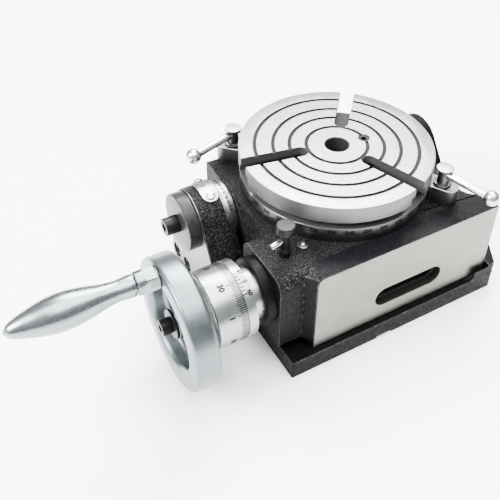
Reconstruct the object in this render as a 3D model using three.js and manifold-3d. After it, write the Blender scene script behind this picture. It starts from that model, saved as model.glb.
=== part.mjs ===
// Tilting rotary table: a worm-driven round table in a cradle that swings between two brackets.
// Millimetres, +Z up. +X runs along the worm and tilt axes away from the handwheel, +Y runs to the
// back. The origin is where the table's turning axis meets the underside of the base.
import * as THREE from 'three';
import { mergeVertices } from 'three/addons/utils/BufferGeometryUtils.js';
import Module from 'manifold-3d';

const wasm = await Module();
wasm.setup();

// ---------- driving dimensions ----------
const TABLE_R = 55;
const TABLE_TOP = 87.5;
const CRADLE_TOP = 64;
const BASE_H = 12;
const BRACKET_OUT = 82; // outer face of both trunnion brackets, from the table axis
const TILT = { y: 22, z: 49.5 }; // tilt axis, along X
const WORM = { y: -39, z: 44 }; // worm axis, along X
const TEETH = 90;
const RUN = 0.08; // radial running clearance
const SEAT = 0.1; // gap between two pieces that rest on each other
const BIG = 40; // facets round a large turned piece
const SMALL = 28; // facets round a bearing
const KNOB = 16; // facets round a knob or stud
const TINY = 12; // facets round a screw

// worm drive: the wheel's pitch radius and the worm's add up to the distance between the axes
const WHEEL_PITCH_R = 31.5;
const MODULE = (2 * WHEEL_PITCH_R) / TEETH;
const WORM_PITCH_R = -WORM.y - WHEEL_PITCH_R;
const PITCH = Math.PI * MODULE;
const ADDENDUM = MODULE;
const DEDENDUM = 1.25 * MODULE;
const THREAD_TURNS = 6;
const THREAD_STEPS = 12; // facets round one turn of the thread

// table: a rim over a neck, a graduated flange and a hub that carries the worm wheel
const RIM_H = 10;
const NECK_R = 50;
const NECK_H = 4.5;
const DIAL_FLANGE_R = 54.5;
const BORE_R = 6.6;
const HUB_R = 17;
const HUB_BOTTOM = 31;
const GROOVE_RADII = [17.2, 26.6, 35.8, 46];
const GROOVE_W = 1.5;
const GROOVE_D = 1;
const SLOT_AZIMUTH = 50; // first T-slot, degrees from +X
const SLOT = { mouth: 8.4, mouthDepth: 5, foot: 13.5, depth: 11.5, innerR: 17.5 };
const PLUG = { radius: 17.2, azimuth: -6, size: 3.4 }; // screw plug set in the inner groove
const WHEEL_Z = { low: 39, high: 49 };

// cradle: a box with a machined front flange and a worm housing at its left front corner
const BODY = { x: 58, front: -52.5, back: 49, bottom: 17 };
const FLANGE = { left: -52, right: 68, front: -65.7, bottom: 13, corner: 4, chamfer: 1.6 };
const FLANGE_SLOT = { x: 9.5, z: 29.5, width: 12.4, length: 45, depth: 13 };
const HOUSING = { left: -70, front: -59.5, back: -20, bottom: 14, corner: 7.5 };
const CAVITY_R = 33.6;
const CAVITY_TOP = 51.5;
const COVER = { r: 35.8, h: 3 };
const BUSH_R = 21;
const BACK_CHAMFER = 11;

// trunnions and brackets
const EAR = { r: 17.8, right: 64.4, left: -66.8 }; // inner faces of the two ears
const BOSS = { r: 16, gap: 0.5 }; // round shoulders of the cradle, just short of the ears
const WEB = { right: -62.3, recess: 2.5, clearR: 17.5 }; // inner web of the left bracket
const JOURNAL_R = 10;
const WASHER = { r: 17, h: 7 };
const TILT_BOLT = { shank: 3, head: 5.2, headH: 8, grip: 20 };
const FOOT = { front: -17, back: 51, h: 15 };
const BASE = { left: -67, front: -69.3, back: 64, cornerX: 73.7, cornerY: -55 };
const PAD = { left: 69.3, h: 7.7, lipLeft: 58.5, lipH: 6, fillet: 3 };
const SWING_CLEARANCE = 1; // left round the flange's lower edge as the cradle swings
const PEDESTAL = { front: -2.7, shoulder: 46.7 };
const KEYWAY = { x: -6, width: 10, depth: 1.6 };
const BRACKET_BOLT = { z: 6.3, shank: 2.5, head: 4.2, headH: 5, sink: 6, into: 12 };
const BRACKET_BOLT_Y = [-10.3, 4.2, 30.2, 44.7];
const VERNIER_PLATE = { left: -75.9, right: -66.3, from: 48, to: 122, h: 1, screws: [59, 111] };
const SCALE_BAND = { left: -66.2, right: -60, h: 0.9 };

// eccentric sleeve round the worm; its own axis lies off the worm axis, so turning it drops the worm
const ECCENTRIC = 1.5;
const ECCENTRIC_ANGLE = 45;
const SLEEVE = { r: 13, right: 36, flangeR: 18.5, flangeH: 5.5, noseR: 14.4, noseEnd: -81.6 };
const SLEEVE_BORE_R = WORM_PITCH_R + ADDENDUM + 0.4;
const SPIGOT_R = 12;
const SHAFT_R = 5;
const COLLAR_R = 6;
const WORM_WINDOW = { x: 19, keepFrom: 125, keepTo: 235 };

// dial, handwheel and handle, as X stations from the table axis
const VERNIER_RING = { right: -82, left: -87.1 };
const DIAL = { r: 20.8, right: -87.4, left: -108.3, knurlR: 20.2, knurlW: 4.6 };
const WHEEL = { r: 35.5, right: -109.4, left: -122.6, rimInner: 23.5, hubR: 9.5, hubLeft: -119 };
const HUB_WASHER = { r: 8, h: 1.3 };
const HUB_BOLT = { shank: 2.5, head: 4.25, headH: 5.6, depth: 12 };
const HANDLE = { r: 30.2, angle: 78, ferruleEnd: -133.6, ferruleR: 6, tip: -194.4, stem: 3 };

// table clamps and the sleeve lock screw
const CLAMP = { r: 61, azimuths: { left: 134, right: -46 }, blockTop: 74.6, nose: 73.2, width: 11.6 };
const CLAMP_BLOCK = { out: 9.4, in: 11, leftTurn: 137, rightTurn: -58 };
const STUD = { r: 2.6, head: 4.8, headTop: 85.8, headH: 1.2, waist: 3.3, collar: 5, collarH: 1.2 };
const LEVER = { r: 2.3, reach: 29, tail: 4.2, ball: 4.4, z: 81.7, drop: 2.3, left: -167, right: -68.5 };
const LOCK = { x: -57, y: -41, head: 5.3, top: 84.4, neck: 3, shank: 2.6, collar: 4.6 };
const LOCK_PIN = { z: 74.6, reach: 8.2, hole: 1.1, turn: 12 };
const OILER = { x: -45.4, y: -40, r: 3.2, h: 1.1 };

// ---------- materials ----------
function paint(color, roughness, metalness) {
  return new THREE.MeshStandardMaterial({ color, roughness, metalness });
}
const castBlack = () => paint(0x1b1b1c, 0.75, 0.1);
const blackOxide = () => paint(0x141415, 0.45, 0.5);
const groundSteel = () => paint(0xc9c8c1, 0.35, 0.9);
const satinChrome = () => paint(0xd9dcdc, 0.25, 0.95);
const castAluminium = () => paint(0xb9bfc0, 0.35, 0.9);
const bronze = () => paint(0xa8803c, 0.4, 0.9);

// ---------- geometry helpers ----------
const rad = (degrees) => (degrees * Math.PI) / 180;

/** Merge shared corners, drop collapsed triangles and turn the faces outward. */
function closed(geometry) {
  const bare = geometry.clone();
  bare.deleteAttribute('normal');
  bare.deleteAttribute('uv');
  const merged = mergeVertices(bare, 1e-4);
  const p = merged.attributes.position;
  const index = merged.index.array;
  const corner = (i) => new THREE.Vector3().fromBufferAttribute(p, i);
  const kept = [];
  let volume = 0;
  for (let i = 0; i < index.length; i += 3) {
    const [a, b, c] = [index[i], index[i + 1], index[i + 2]];
    if (a === b || b === c || c === a) continue;
    kept.push(a, b, c);
    volume += corner(a).dot(corner(b).cross(corner(c)));
  }
  if (volume < 0) kept.reverse();
  merged.setIndex(kept);
  return merged;
}

function toManifold(geometry) {
  const g = closed(geometry);
  return new wasm.Manifold(new wasm.Mesh({
    numProp: 3,
    vertProperties: new Float32Array(g.attributes.position.array),
    triVerts: new Uint32Array(g.index.array),
  }));
}

function fromManifold(manifold) {
  const mesh = manifold.getMesh();
  const geometry = new THREE.BufferGeometry();
  geometry.setAttribute('position', new THREE.BufferAttribute(mesh.vertProperties, 3));
  geometry.setIndex(new THREE.BufferAttribute(mesh.triVerts, 1));
  return geometry;
}

/** Join the first list of geometries and cut the second list from them. */
function carve(adds, cuts = []) {
  const [first, ...rest] = adds.map(toManifold);
  const joined = rest.reduce((sum, next) => sum.add(next), first);
  return fromManifold(cuts.map(toManifold).reduce((left, cut) => left.subtract(cut), joined));
}

/** Turn a closed [radius, height] profile round the Z axis. */
function turnedZ(profile, facets = BIG) {
  const points = [...profile, profile[0]].map(([r, h]) => new THREE.Vector2(r, h));
  return closed(new THREE.LatheGeometry(points, facets).rotateX(Math.PI / 2));
}

/** Turn a closed [radius, x] profile round the X axis. */
function turnedX(profile, facets = SMALL) {
  const points = [...profile, profile[0]].map(([r, x]) => new THREE.Vector2(r, x));
  return closed(new THREE.LatheGeometry(points, facets).rotateZ(-Math.PI / 2));
}

const tube = (inner, outer, a, b) => [[inner, a], [outer, a], [outer, b], [inner, b]];
const rodZ = (r, low, high, facets = SMALL) => turnedZ(tube(0, r, low, high), facets);
const rodX = (r, left, right, facets = SMALL) => turnedX(tube(0, r, left, right), facets);

function box(x0, x1, y0, y1, z0, z1) {
  const g = new THREE.BoxGeometry(x1 - x0, y1 - y0, z1 - z0);
  return g.translate((x0 + x1) / 2, (y0 + y1) / 2, (z0 + z1) / 2);
}

/** Extrude a shape drawn in Y and Z along X. */
function alongX(shape, left, right, facets = 12) {
  const options = { depth: right - left, bevelEnabled: false, curveSegments: facets };
  const g = new THREE.ExtrudeGeometry(shape, options);
  g.applyMatrix4(new THREE.Matrix4().makeBasis(
    new THREE.Vector3(0, 1, 0), new THREE.Vector3(0, 0, 1), new THREE.Vector3(1, 0, 0)));
  return g.translate(left, 0, 0);
}

/** Extrude a shape drawn in X and Z from front to back. */
function alongY(shape, front, back, facets = 12) {
  const options = { depth: back - front, bevelEnabled: false, curveSegments: facets };
  const g = new THREE.ExtrudeGeometry(shape, options);
  return g.rotateX(Math.PI / 2).translate(0, back, 0);
}

/** Extrude a shape drawn in X and Y upward. */
function alongZ(shape, low, high, facets = 12) {
  const options = { depth: high - low, bevelEnabled: false, curveSegments: facets };
  return new THREE.ExtrudeGeometry(shape, options).translate(0, 0, low);
}

function polygon(points) {
  return new THREE.Shape(points.map(([x, y]) => new THREE.Vector2(x, y)));
}

/** A straight slot shape with two round ends, lying along the first axis. */
function slotShape(x0, x1, y, width) {
  const r = width / 2;
  const shape = new THREE.Shape();
  shape.moveTo(x0 + r, y - r);
  shape.lineTo(x1 - r, y - r);
  shape.absarc(x1 - r, y, r, -Math.PI / 2, Math.PI / 2, false);
  shape.lineTo(x0 + r, y + r);
  shape.absarc(x0 + r, y, r, Math.PI / 2, 1.5 * Math.PI, false);
  return shape;
}

function piece(name, geometry, material) {
  const mesh = new THREE.Mesh(geometry, material);
  mesh.name = name;
  return mesh;
}

function placed(object, x, y, z) {
  object.position.set(x, y, z);
  return object;
}

const onTiltAxis = (geometry) => geometry.translate(0, TILT.y, TILT.z);
const onWormAxis = (geometry) => geometry.translate(0, WORM.y, WORM.z);

/** A socket cap screw along X; its head sits at headX and points to the side of sign. */
function capScrewX({ shank, head, headH, length }, headX, sign) {
  const socket = { r: head * 0.5, depth: headH * 0.5 };
  const top = headX + sign * headH;
  return turnedX([
    [0, top - sign * socket.depth], [socket.r, top - sign * socket.depth], [socket.r, top],
    [head - 0.4, top], [head, top - sign * 0.4], [head, headX],
    [shank, headX], [shank, headX - sign * length], [0, headX - sign * length],
  ], TINY);
}

// ---------- base ----------
function baseOutline() {
  return polygon([
    [BASE.left, BASE.front], [BASE.cornerX, BASE.front], [BRACKET_OUT, BASE.cornerY],
    [BRACKET_OUT, BASE.back], [BASE.left, BASE.back],
  ]);
}

/** The front lip that leads up to the right pad through a hollow fillet. */
function frontLip() {
  const { lipLeft: left, lipH, fillet: f } = PAD;
  const profile = new THREE.Shape();
  profile.moveTo(left - f, BASE_H - 1);
  profile.lineTo(PAD.left + 1, BASE_H - 1);
  profile.lineTo(PAD.left + 1, BASE_H + lipH);
  profile.lineTo(left, BASE_H + lipH);
  profile.lineTo(left, BASE_H + f);
  profile.absarc(left - f, BASE_H + f, f, 0, -Math.PI / 2, true);
  return alongY(profile, BASE.front, BASE.front + 4, 4);
}

/** The space that the flange's lower front edge sweeps as the cradle swings. */
function swingSpace(left, right) {
  const reach = Math.hypot(FLANGE.front - TILT.y, FLANGE.bottom - TILT.z) + SWING_CLEARANCE;
  const swept = onTiltAxis(rodX(reach, left, right, 2 * BIG));
  const above = box(left - 1, right + 1, -2 * reach, TILT.y, BASE_H, TILT.z);
  return fromManifold(toManifold(swept).intersect(toManifold(above)));
}

function baseCasting() {
  const outside = polygon([
    [BASE.cornerX, BASE.front - 1], [BRACKET_OUT + 1, BASE.front - 1],
    [BRACKET_OUT + 1, BASE.cornerY + 1], [BRACKET_OUT, BASE.cornerY], [BASE.cornerX, BASE.front],
  ]);
  const back = 2 * TILT.y - PEDESTAL.front;
  const outline = supportOutline(PEDESTAL.front, back, PEDESTAL.shoulder, BASE_H - 1);
  const support = alongX(outline, EAR.right, BRACKET_OUT, 12);
  const keyway = box(KEYWAY.x - KEYWAY.width / 2, KEYWAY.x + KEYWAY.width / 2,
    BASE.front - 1, BASE.back + 1, -1, KEYWAY.depth);
  const bore = onTiltAxis(rodX(JOURNAL_R + RUN, EAR.right - 1, BRACKET_OUT + 1));
  const boltHoles = BRACKET_BOLT_Y.map((y) =>
    rodX(BRACKET_BOLT.shank + SEAT, BASE.left - 1, BASE.left + BRACKET_BOLT.into, TINY)
      .translate(0, y, BRACKET_BOLT.z));
  const pad = box(PAD.left, BRACKET_OUT, BASE.front, BASE.back, BASE_H - 1, BASE_H + PAD.h);
  const lip = fromManifold(toManifold(frontLip())
    .subtract(toManifold(swingSpace(PAD.lipLeft - PAD.fillet - 1, PAD.left))));
  return carve(
    [alongZ(baseOutline(), 0, BASE_H), pad, lip, support],
    [alongZ(outside, -1, BASE_H + PAD.h + 1), keyway, bore, ...boltHoles]);
}

/** End outline of a trunnion support: upright sides, then flanks that run up to meet a round ear. */
function supportOutline(front, back, shoulder, low, r = EAR.r) {
  const tangent = (y) => {
    const corner = new THREE.Vector2(Math.abs(y - TILT.y), shoulder - TILT.z);
    return Math.atan2(corner.y, corner.x) + Math.acos(r / corner.length());
  };
  const shape = new THREE.Shape();
  shape.moveTo(front, low);
  shape.lineTo(back, low);
  shape.lineTo(back, shoulder);
  shape.absarc(TILT.y, TILT.z, r, tangent(back), Math.PI - tangent(front), false);
  shape.lineTo(front, shoulder);
  return shape;
}

function leftBracket() {
  const outer = -BRACKET_OUT;
  const seat = box(BASE.left - SEAT, WEB.right + 1, FOOT.front - 1, FOOT.back + 1, -1, BASE_H + SEAT);
  const bore = onTiltAxis(rodX(JOURNAL_R + RUN, outer - 1, EAR.left + 1));
  const clearance = onTiltAxis(rodX(WEB.clearR, EAR.left, WEB.right + 1, BIG));
  const b = BRACKET_BOLT;
  const holes = BRACKET_BOLT_Y.flatMap((y) => [
    rodX(b.shank + SEAT, outer - 1, BASE.left + 1, TINY).translate(0, y, b.z),
    rodX(b.head + 0.3, outer - 1, outer + b.sink, TINY).translate(0, y, b.z),
  ]);
  const body = alongX(supportOutline(FOOT.front, FOOT.back, FOOT.h, 0), outer, EAR.left, 12);
  const webOutline = supportOutline(
    FOOT.front + WEB.recess, FOOT.back - WEB.recess, FOOT.h, 0, EAR.r - WEB.recess);
  const web = alongX(webOutline, EAR.left - 1, WEB.right, 12);
  return carve([body, web], [seat, bore, clearance, ...holes]);
}

function bracketBolt(y) {
  const b = BRACKET_BOLT;
  const reach = BASE.left + b.into - 1 + BRACKET_OUT - b.sink;
  const screw = capScrewX({ ...b, length: reach }, -BRACKET_OUT + b.sink - SEAT, -1);
  return screw.translate(0, y, b.z);
}

/** A curved strip that follows the ear's crown, with half-round ends. */
function vernierPlate() {
  const v = VERNIER_PLATE;
  const inner = EAR.r + SEAT;
  const width = v.right - v.left;
  const endAngle = THREE.MathUtils.radToDeg(width / 2 / inner);
  const sector = new THREE.Shape();
  sector.absarc(0, 0, inner, rad(v.from), rad(v.to), false);
  sector.absarc(0, 0, inner + v.h, rad(v.to), rad(v.from), true);
  const strip = alongX(sector, v.left, v.right, 9);
  const middle = (v.left + v.right) / 2;
  const roundEnd = (angle) => rodZ(width / 2, inner - 3, inner + 5, KNOB)
    .translate(middle, 0, 0).rotateX(rad(angle - 90));
  const body = box(v.left, v.right, -inner * 2, inner * 2, -inner * 2, inner * 2);
  const keepMiddle = new THREE.Shape();
  keepMiddle.moveTo(0, 0);
  for (const angle of [v.from + endAngle, (v.from + v.to) / 2, v.to - endAngle]) {
    keepMiddle.lineTo(inner * 2 * Math.cos(rad(angle)), inner * 2 * Math.sin(rad(angle)));
  }
  const keep = toManifold(alongX(keepMiddle, v.left, v.right, 4))
    .add(toManifold(roundEnd(v.from + endAngle)))
    .add(toManifold(roundEnd(v.to - endAngle)));
  const holes = v.screws.map((angle) => toManifold(rodZ(1.5, inner - 3, inner + 5, TINY)
    .translate(middle, 0, 0).rotateX(rad(angle - 90))));
  const plate = toManifold(strip).intersect(toManifold(body)).intersect(keep);
  return onTiltAxis(fromManifold(holes.reduce((left, hole) => left.subtract(hole), plate)));
}

function vernierScrew(angle) {
  const v = VERNIER_PLATE;
  const top = EAR.r + SEAT + v.h + SEAT;
  const head = turnedZ([[0, top], [2.5, top], [2.5, top + 0.5], [1.6, top + 1.3], [0, top + 1.5]], TINY);
  const stem = rodZ(1.2, EAR.r + 0.3, top + 0.2, TINY);
  return onTiltAxis(carve([head, stem])
    .translate((v.left + v.right) / 2, 0, 0).rotateX(rad(angle - 90)));
}

// ---------- cradle ----------
/** End outline of the worm housing, with both top corners rounded. */
function housingOutline() {
  const { front, back, bottom, corner } = HOUSING;
  const shape = new THREE.Shape();
  shape.moveTo(front, bottom);
  shape.lineTo(back, bottom);
  shape.lineTo(back, CRADLE_TOP - corner);
  shape.absarc(back - corner, CRADLE_TOP - corner, corner, 0, Math.PI / 2, false);
  shape.lineTo(front + corner, CRADLE_TOP);
  shape.absarc(front + corner, CRADLE_TOP - corner, corner, Math.PI / 2, Math.PI, false);
  return shape;
}

function flangeOutline() {
  const { left, right, bottom, corner } = FLANGE;
  const shape = new THREE.Shape();
  shape.moveTo(left, bottom);
  shape.lineTo(right - FLANGE.chamfer, bottom);
  shape.lineTo(right, bottom + FLANGE.chamfer);
  shape.lineTo(right, CRADLE_TOP);
  shape.lineTo(left + corner, CRADLE_TOP);
  shape.absarc(left + corner, CRADLE_TOP - corner, corner, Math.PI / 2, Math.PI, false);
  return shape;
}

/** The web that runs from the body's right side out to the overhanging end of the flange. */
function flangeWeb() {
  const back = BODY.front;
  const reach = FLANGE.right - BODY.x;
  const shape = new THREE.Shape();
  shape.moveTo(BODY.x - 1, back - 1);
  shape.lineTo(FLANGE.right, back - 1);
  shape.lineTo(FLANGE.right, back);
  shape.absarc(FLANGE.right, back + reach, reach, -Math.PI / 2, -Math.PI, true);
  shape.lineTo(BODY.x - 1, back + reach);
  return alongZ(shape, BODY.bottom, CRADLE_TOP, 8);
}

function trunnion(sign) {
  const root = sign * (BODY.x - 1);
  const shoulder = (sign < 0 ? EAR.left : EAR.right) - sign * BOSS.gap;
  const end = sign * (BRACKET_OUT - 0.5);
  return onTiltAxis(turnedX([
    [0, root], [BOSS.r, root], [BOSS.r, shoulder], [JOURNAL_R, shoulder], [JOURNAL_R, end], [0, end],
  ], SMALL));
}

function sleeveAxis() {
  return {
    y: WORM.y - ECCENTRIC * Math.cos(rad(ECCENTRIC_ANGLE)),
    z: WORM.z - ECCENTRIC * Math.sin(rad(ECCENTRIC_ANGLE)),
  };
}

function cradleHousing() {
  const side = polygon([
    [BODY.front - 1, BODY.bottom], [BODY.back - BACK_CHAMFER, BODY.bottom],
    [BODY.back, BODY.bottom + BACK_CHAMFER], [BODY.back, CRADLE_TOP], [BODY.front - 1, CRADLE_TOP],
  ]);
  const axis = sleeveAxis();
  const slotEnds = [FLANGE_SLOT.x - FLANGE_SLOT.length / 2, FLANGE_SLOT.x + FLANGE_SLOT.length / 2];
  const slot = alongY(slotShape(...slotEnds, FLANGE_SLOT.z, FLANGE_SLOT.width),
    FLANGE.front - 1, FLANGE.front + FLANGE_SLOT.depth, 8);
  const screwHole = onTiltAxis(
    rodX(TILT_BOLT.shank + SEAT, -BRACKET_OUT, TILT_BOLT.grip + 2 - BRACKET_OUT, TINY));
  const studs = Object.values(CLAMP.azimuths).map((azimuth) =>
    rodZ(STUD.r + SEAT, CRADLE_TOP - 12, CRADLE_TOP + 1, TINY)
      .translate(CLAMP.r * Math.cos(rad(azimuth)), CLAMP.r * Math.sin(rad(azimuth)), 0));
  return carve([
    alongX(side, -BODY.x, BODY.x),
    alongY(flangeOutline(), FLANGE.front, BODY.front, 6),
    alongX(housingOutline(), HOUSING.left, -BODY.x + 12, 8),
    flangeWeb(), trunnion(-1), trunnion(1),
  ], [
    slot,
    rodZ(CAVITY_R, BODY.bottom - 1, CAVITY_TOP, BIG),
    rodZ(COVER.r + SEAT, BODY.bottom - 1, BODY.bottom + COVER.h + SEAT, BIG),
    rodZ(BUSH_R, CAVITY_TOP - 1, CRADLE_TOP + 1, BIG),
    rodX(SLEEVE.r + 2 * RUN, HOUSING.left - 1, SLEEVE.right + 0.5, SMALL).translate(0, axis.y, axis.z),
    screwHole, ...studs,
    rodZ(LOCK.shank + SEAT, WORM.z + 12, CRADLE_TOP + 1, TINY).translate(LOCK.x, LOCK.y, 0),
    rodZ(2.1, CRADLE_TOP - 3, CRADLE_TOP + 1, TINY).translate(OILER.x, OILER.y, 0),
  ]);
}

function tiltWasher() {
  const right = -BRACKET_OUT - SEAT;
  return onTiltAxis(turnedX(tube(TILT_BOLT.shank + SEAT, WASHER.r, right - WASHER.h, right), BIG));
}

function tiltClampScrew() {
  const seat = -BRACKET_OUT - WASHER.h - 2 * SEAT;
  const length = WASHER.h + TILT_BOLT.grip;
  return onTiltAxis(capScrewX({ ...TILT_BOLT, length }, seat, -1));
}

function ballOiler() {
  const { r, h } = OILER;
  const z = CRADLE_TOP + SEAT;
  return turnedZ([
    [0, z - 2.6], [2, z - 2.6], [2, z], [r, z], [r, z + h * 0.6], [r - 0.4, z + h],
    [1.5, z + h * 0.7], [1.1, z + h * 1.1], [0, z + h * 1.5],
  ], TINY);
}

// ---------- table clamps ----------
/** A clamp block lies along its own direction and hooks over the table's graduated flange. */
function clampBlock() {
  const half = CLAMP.width / 2;
  const outline = new THREE.Shape();
  outline.moveTo(-CLAMP_BLOCK.in, -half);
  outline.lineTo(CLAMP_BLOCK.out - half, -half);
  outline.absarc(CLAMP_BLOCK.out - half, 0, half, -Math.PI / 2, Math.PI / 2, false);
  outline.lineTo(-CLAMP_BLOCK.in, half);
  return alongZ(outline, CRADLE_TOP + SEAT, CLAMP.blockTop, 8);
}

function placedClampBlock(azimuth, turn) {
  const x = CLAMP.r * Math.cos(rad(azimuth));
  const y = CLAMP.r * Math.sin(rad(azimuth));
  const block = clampBlock().rotateZ(rad(turn)).translate(x, y, 0);
  const under = rodZ(DIAL_FLANGE_R + 1, CRADLE_TOP - 1, CLAMP.nose, BIG);
  const neck = rodZ(NECK_R + 0.8, CRADLE_TOP - 1, CLAMP.blockTop + 1, BIG);
  const hole = rodZ(STUD.r + SEAT, CRADLE_TOP - 1, CLAMP.blockTop + 1, TINY).translate(x, y, 0);
  return carve([block], [under, neck, hole]);
}

function clampStud() {
  const low = CRADLE_TOP - 11.5;
  const seat = CLAMP.blockTop + SEAT;
  const top = STUD.headTop;
  const under = top - STUD.headH;
  const body = turnedZ([
    [0, low], [STUD.r, low], [STUD.r, seat], [STUD.collar, seat], [STUD.collar, seat + STUD.collarH],
    [STUD.waist, seat + STUD.collarH], [STUD.waist, under - 1], [STUD.head, under],
    [STUD.head, top - 0.4], [STUD.head - 0.4, top], [0, top],
  ], KNOB);
  const hole = leverRod(LEVER.r + RUN * 2, -STUD.head - 1, STUD.head + 1);
  return carve([body], [hole]);
}

const leverSlope = Math.atan2(LEVER.drop, LEVER.reach);

/** The lever's line: level at the stud, dropping to the ball. */
function leverRod(r, from, to) {
  return rodX(r, from, to, TINY).rotateY(leverSlope).translate(0, 0, LEVER.z);
}

function clampBall() {
  const length = Math.hypot(LEVER.reach, LEVER.drop);
  const flat = 1.4;
  const profile = [[0, length - LEVER.ball + flat]];
  const start = Math.acos((LEVER.ball - flat) / LEVER.ball);
  const steps = 6;
  for (let i = 0; i <= steps; i += 1) {
    const a = start + ((Math.PI - start) * i) / steps;
    profile.push([LEVER.ball * Math.sin(a), length - LEVER.ball * Math.cos(a)]);
  }
  return turnedX(profile, TINY).rotateY(leverSlope).translate(0, 0, LEVER.z);
}

function clampGroup(side, direction) {
  const azimuth = CLAMP.azimuths[side];
  const ballStart = Math.hypot(LEVER.reach, LEVER.drop) - LEVER.ball + 1.4;
  const group = new THREE.Group();
  group.add(piece(`clamp_stud_${side}`, clampStud(), satinChrome()));
  const rod = leverRod(LEVER.r, -LEVER.tail, ballStart - SEAT);
  group.add(piece(`clamp_lever_${side}`, rod, satinChrome()));
  group.add(piece(`clamp_ball_${side}`, clampBall(), satinChrome()));
  group.rotation.z = rad(direction);
  return placed(group, CLAMP.r * Math.cos(rad(azimuth)), CLAMP.r * Math.sin(rad(azimuth)), 0);
}

function lockScrew() {
  const low = WORM.z + 13.2;
  const seat = CRADLE_TOP + SEAT;
  const top = LOCK.top;
  const body = turnedZ([
    [0, low], [LOCK.shank, low], [LOCK.shank, seat], [LOCK.collar, seat], [LOCK.collar, seat + 4],
    [LOCK.neck, seat + 5], [LOCK.neck, top - 6], [LOCK.head, top - 4.8], [LOCK.head, top - 0.7],
    [LOCK.head - 0.7, top], [0, top],
  ], KNOB);
  const hole = rodX(LOCK_PIN.hole, -LOCK.neck - 1, LOCK.neck + 1, TINY)
    .rotateZ(rad(LOCK_PIN.turn)).translate(0, 0, LOCK_PIN.z);
  return carve([body], [hole]);
}

function lockScrewPin() {
  const end = -LOCK_PIN.reach;
  return turnedX([
    [0, end - 1.4], [1.5, end - 1.4], [1.9, end - 0.9], [1.9, end], [1, end], [1, 4.4], [0, 4.4],
  ], TINY).rotateZ(rad(LOCK_PIN.turn)).translate(0, 0, LOCK_PIN.z);
}

// ---------- table ----------
function tableProfile() {
  const rimLow = TABLE_TOP - RIM_H;
  const flangeTop = rimLow - NECK_H;
  const flangeLow = CRADLE_TOP + 2 * SEAT;
  const grooves = GROOVE_RADII.flatMap((r) => [
    [r - GROOVE_W / 2, TABLE_TOP], [r, TABLE_TOP - GROOVE_D], [r + GROOVE_W / 2, TABLE_TOP],
  ]);
  return [
    [BORE_R, HUB_BOTTOM], [BORE_R, TABLE_TOP - 0.5], [BORE_R + 0.5, TABLE_TOP], ...grooves,
    [TABLE_R - 0.4, TABLE_TOP], [TABLE_R, TABLE_TOP - 0.4], [TABLE_R, rimLow],
    [NECK_R, rimLow], [NECK_R, flangeTop], [DIAL_FLANGE_R, flangeTop], [DIAL_FLANGE_R, flangeLow],
    [HUB_R, flangeLow], [HUB_R, HUB_BOTTOM],
  ];
}

/** One T-slot along +X: a narrow mouth over a wider foot, both open at the rim. */
function tSlot() {
  const end = TABLE_R + 5;
  const mouth = alongZ(slotShape(SLOT.innerR, end + SLOT.mouth, 0, SLOT.mouth),
    TABLE_TOP - SLOT.mouthDepth - 1, TABLE_TOP + 1, 5);
  const inset = SLOT.innerR - (SLOT.foot - SLOT.mouth) / 2;
  const foot = alongZ(slotShape(inset, end + SLOT.foot, 0, SLOT.foot),
    TABLE_TOP - SLOT.depth, TABLE_TOP - SLOT.mouthDepth, 5);
  return [mouth, foot];
}

function rotaryTable() {
  const slots = [0, 120, 240].flatMap((turn) => tSlot().map((g) => g.rotateZ(rad(turn))));
  const plugHole = rodZ(PLUG.size + SEAT, TABLE_TOP - 6, TABLE_TOP + 1, TINY)
    .translate(...plugPosition(), 0);
  const keySeat = box(HUB_R - 2, HUB_R + 1, -2 - SEAT, 2 + SEAT, WHEEL_Z.low, WHEEL_Z.high - 1);
  return carve([turnedZ(tableProfile())], [...slots, plugHole, keySeat]);
}

/** The plug's place in the table's own frame, where the first T-slot lies along +X. */
function plugPosition() {
  const azimuth = rad(PLUG.azimuth - SLOT_AZIMUTH);
  return [PLUG.radius * Math.cos(azimuth), PLUG.radius * Math.sin(azimuth)];
}

function tablePlug() {
  const top = TABLE_TOP - 0.4;
  const low = top - 4.5;
  const socket = 1.6;
  return turnedZ([
    [0, low], [PLUG.size, low], [PLUG.size, top - 0.3], [PLUG.size - 0.3, top], [socket, top],
    [socket, top - 2], [0, top - 2],
  ], TINY);
}

/** Worm wheel with straight trapezoid teeth; a tooth gap faces the worm at rest. */
function wormWheel() {
  const shape = new THREE.Shape();
  const step = (2 * Math.PI) / TEETH;
  const root = WHEEL_PITCH_R - DEDENDUM;
  const tip = WHEEL_PITCH_R + ADDENDUM;
  const halfRoot = 0.3 * step;
  const halfTip = 0.13 * step;
  for (let i = 0; i < TEETH; i += 1) {
    const middle = -Math.PI / 2 + step * (i + 0.5);
    const corners = [[root, -halfRoot], [tip, -halfTip], [tip, halfTip], [root, halfRoot]];
    corners.forEach(([r, offset], k) => {
      const [x, y] = [r * Math.cos(middle + offset), r * Math.sin(middle + offset)];
      if (i === 0 && k === 0) shape.moveTo(x, y);
      else shape.lineTo(x, y);
    });
  }
  const bore = new THREE.Path();
  bore.absarc(0, 0, HUB_R + RUN, 0, 2 * Math.PI, true);
  shape.holes.push(bore);
  const blank = alongZ(shape, WHEEL_Z.low, WHEEL_Z.high, 16);
  const keySeat = box(HUB_R - 1, HUB_R + 2, -2 - SEAT, 2 + SEAT, WHEEL_Z.low - 1, WHEEL_Z.high + 1)
    .rotateZ(rad(SLOT_AZIMUTH));
  return carve([blank], [keySeat]);
}

function wheelKey() {
  return box(HUB_R - 1.9, HUB_R + 1.9, -2, 2, WHEEL_Z.low + 0.2, WHEEL_Z.high - 1.2);
}

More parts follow.
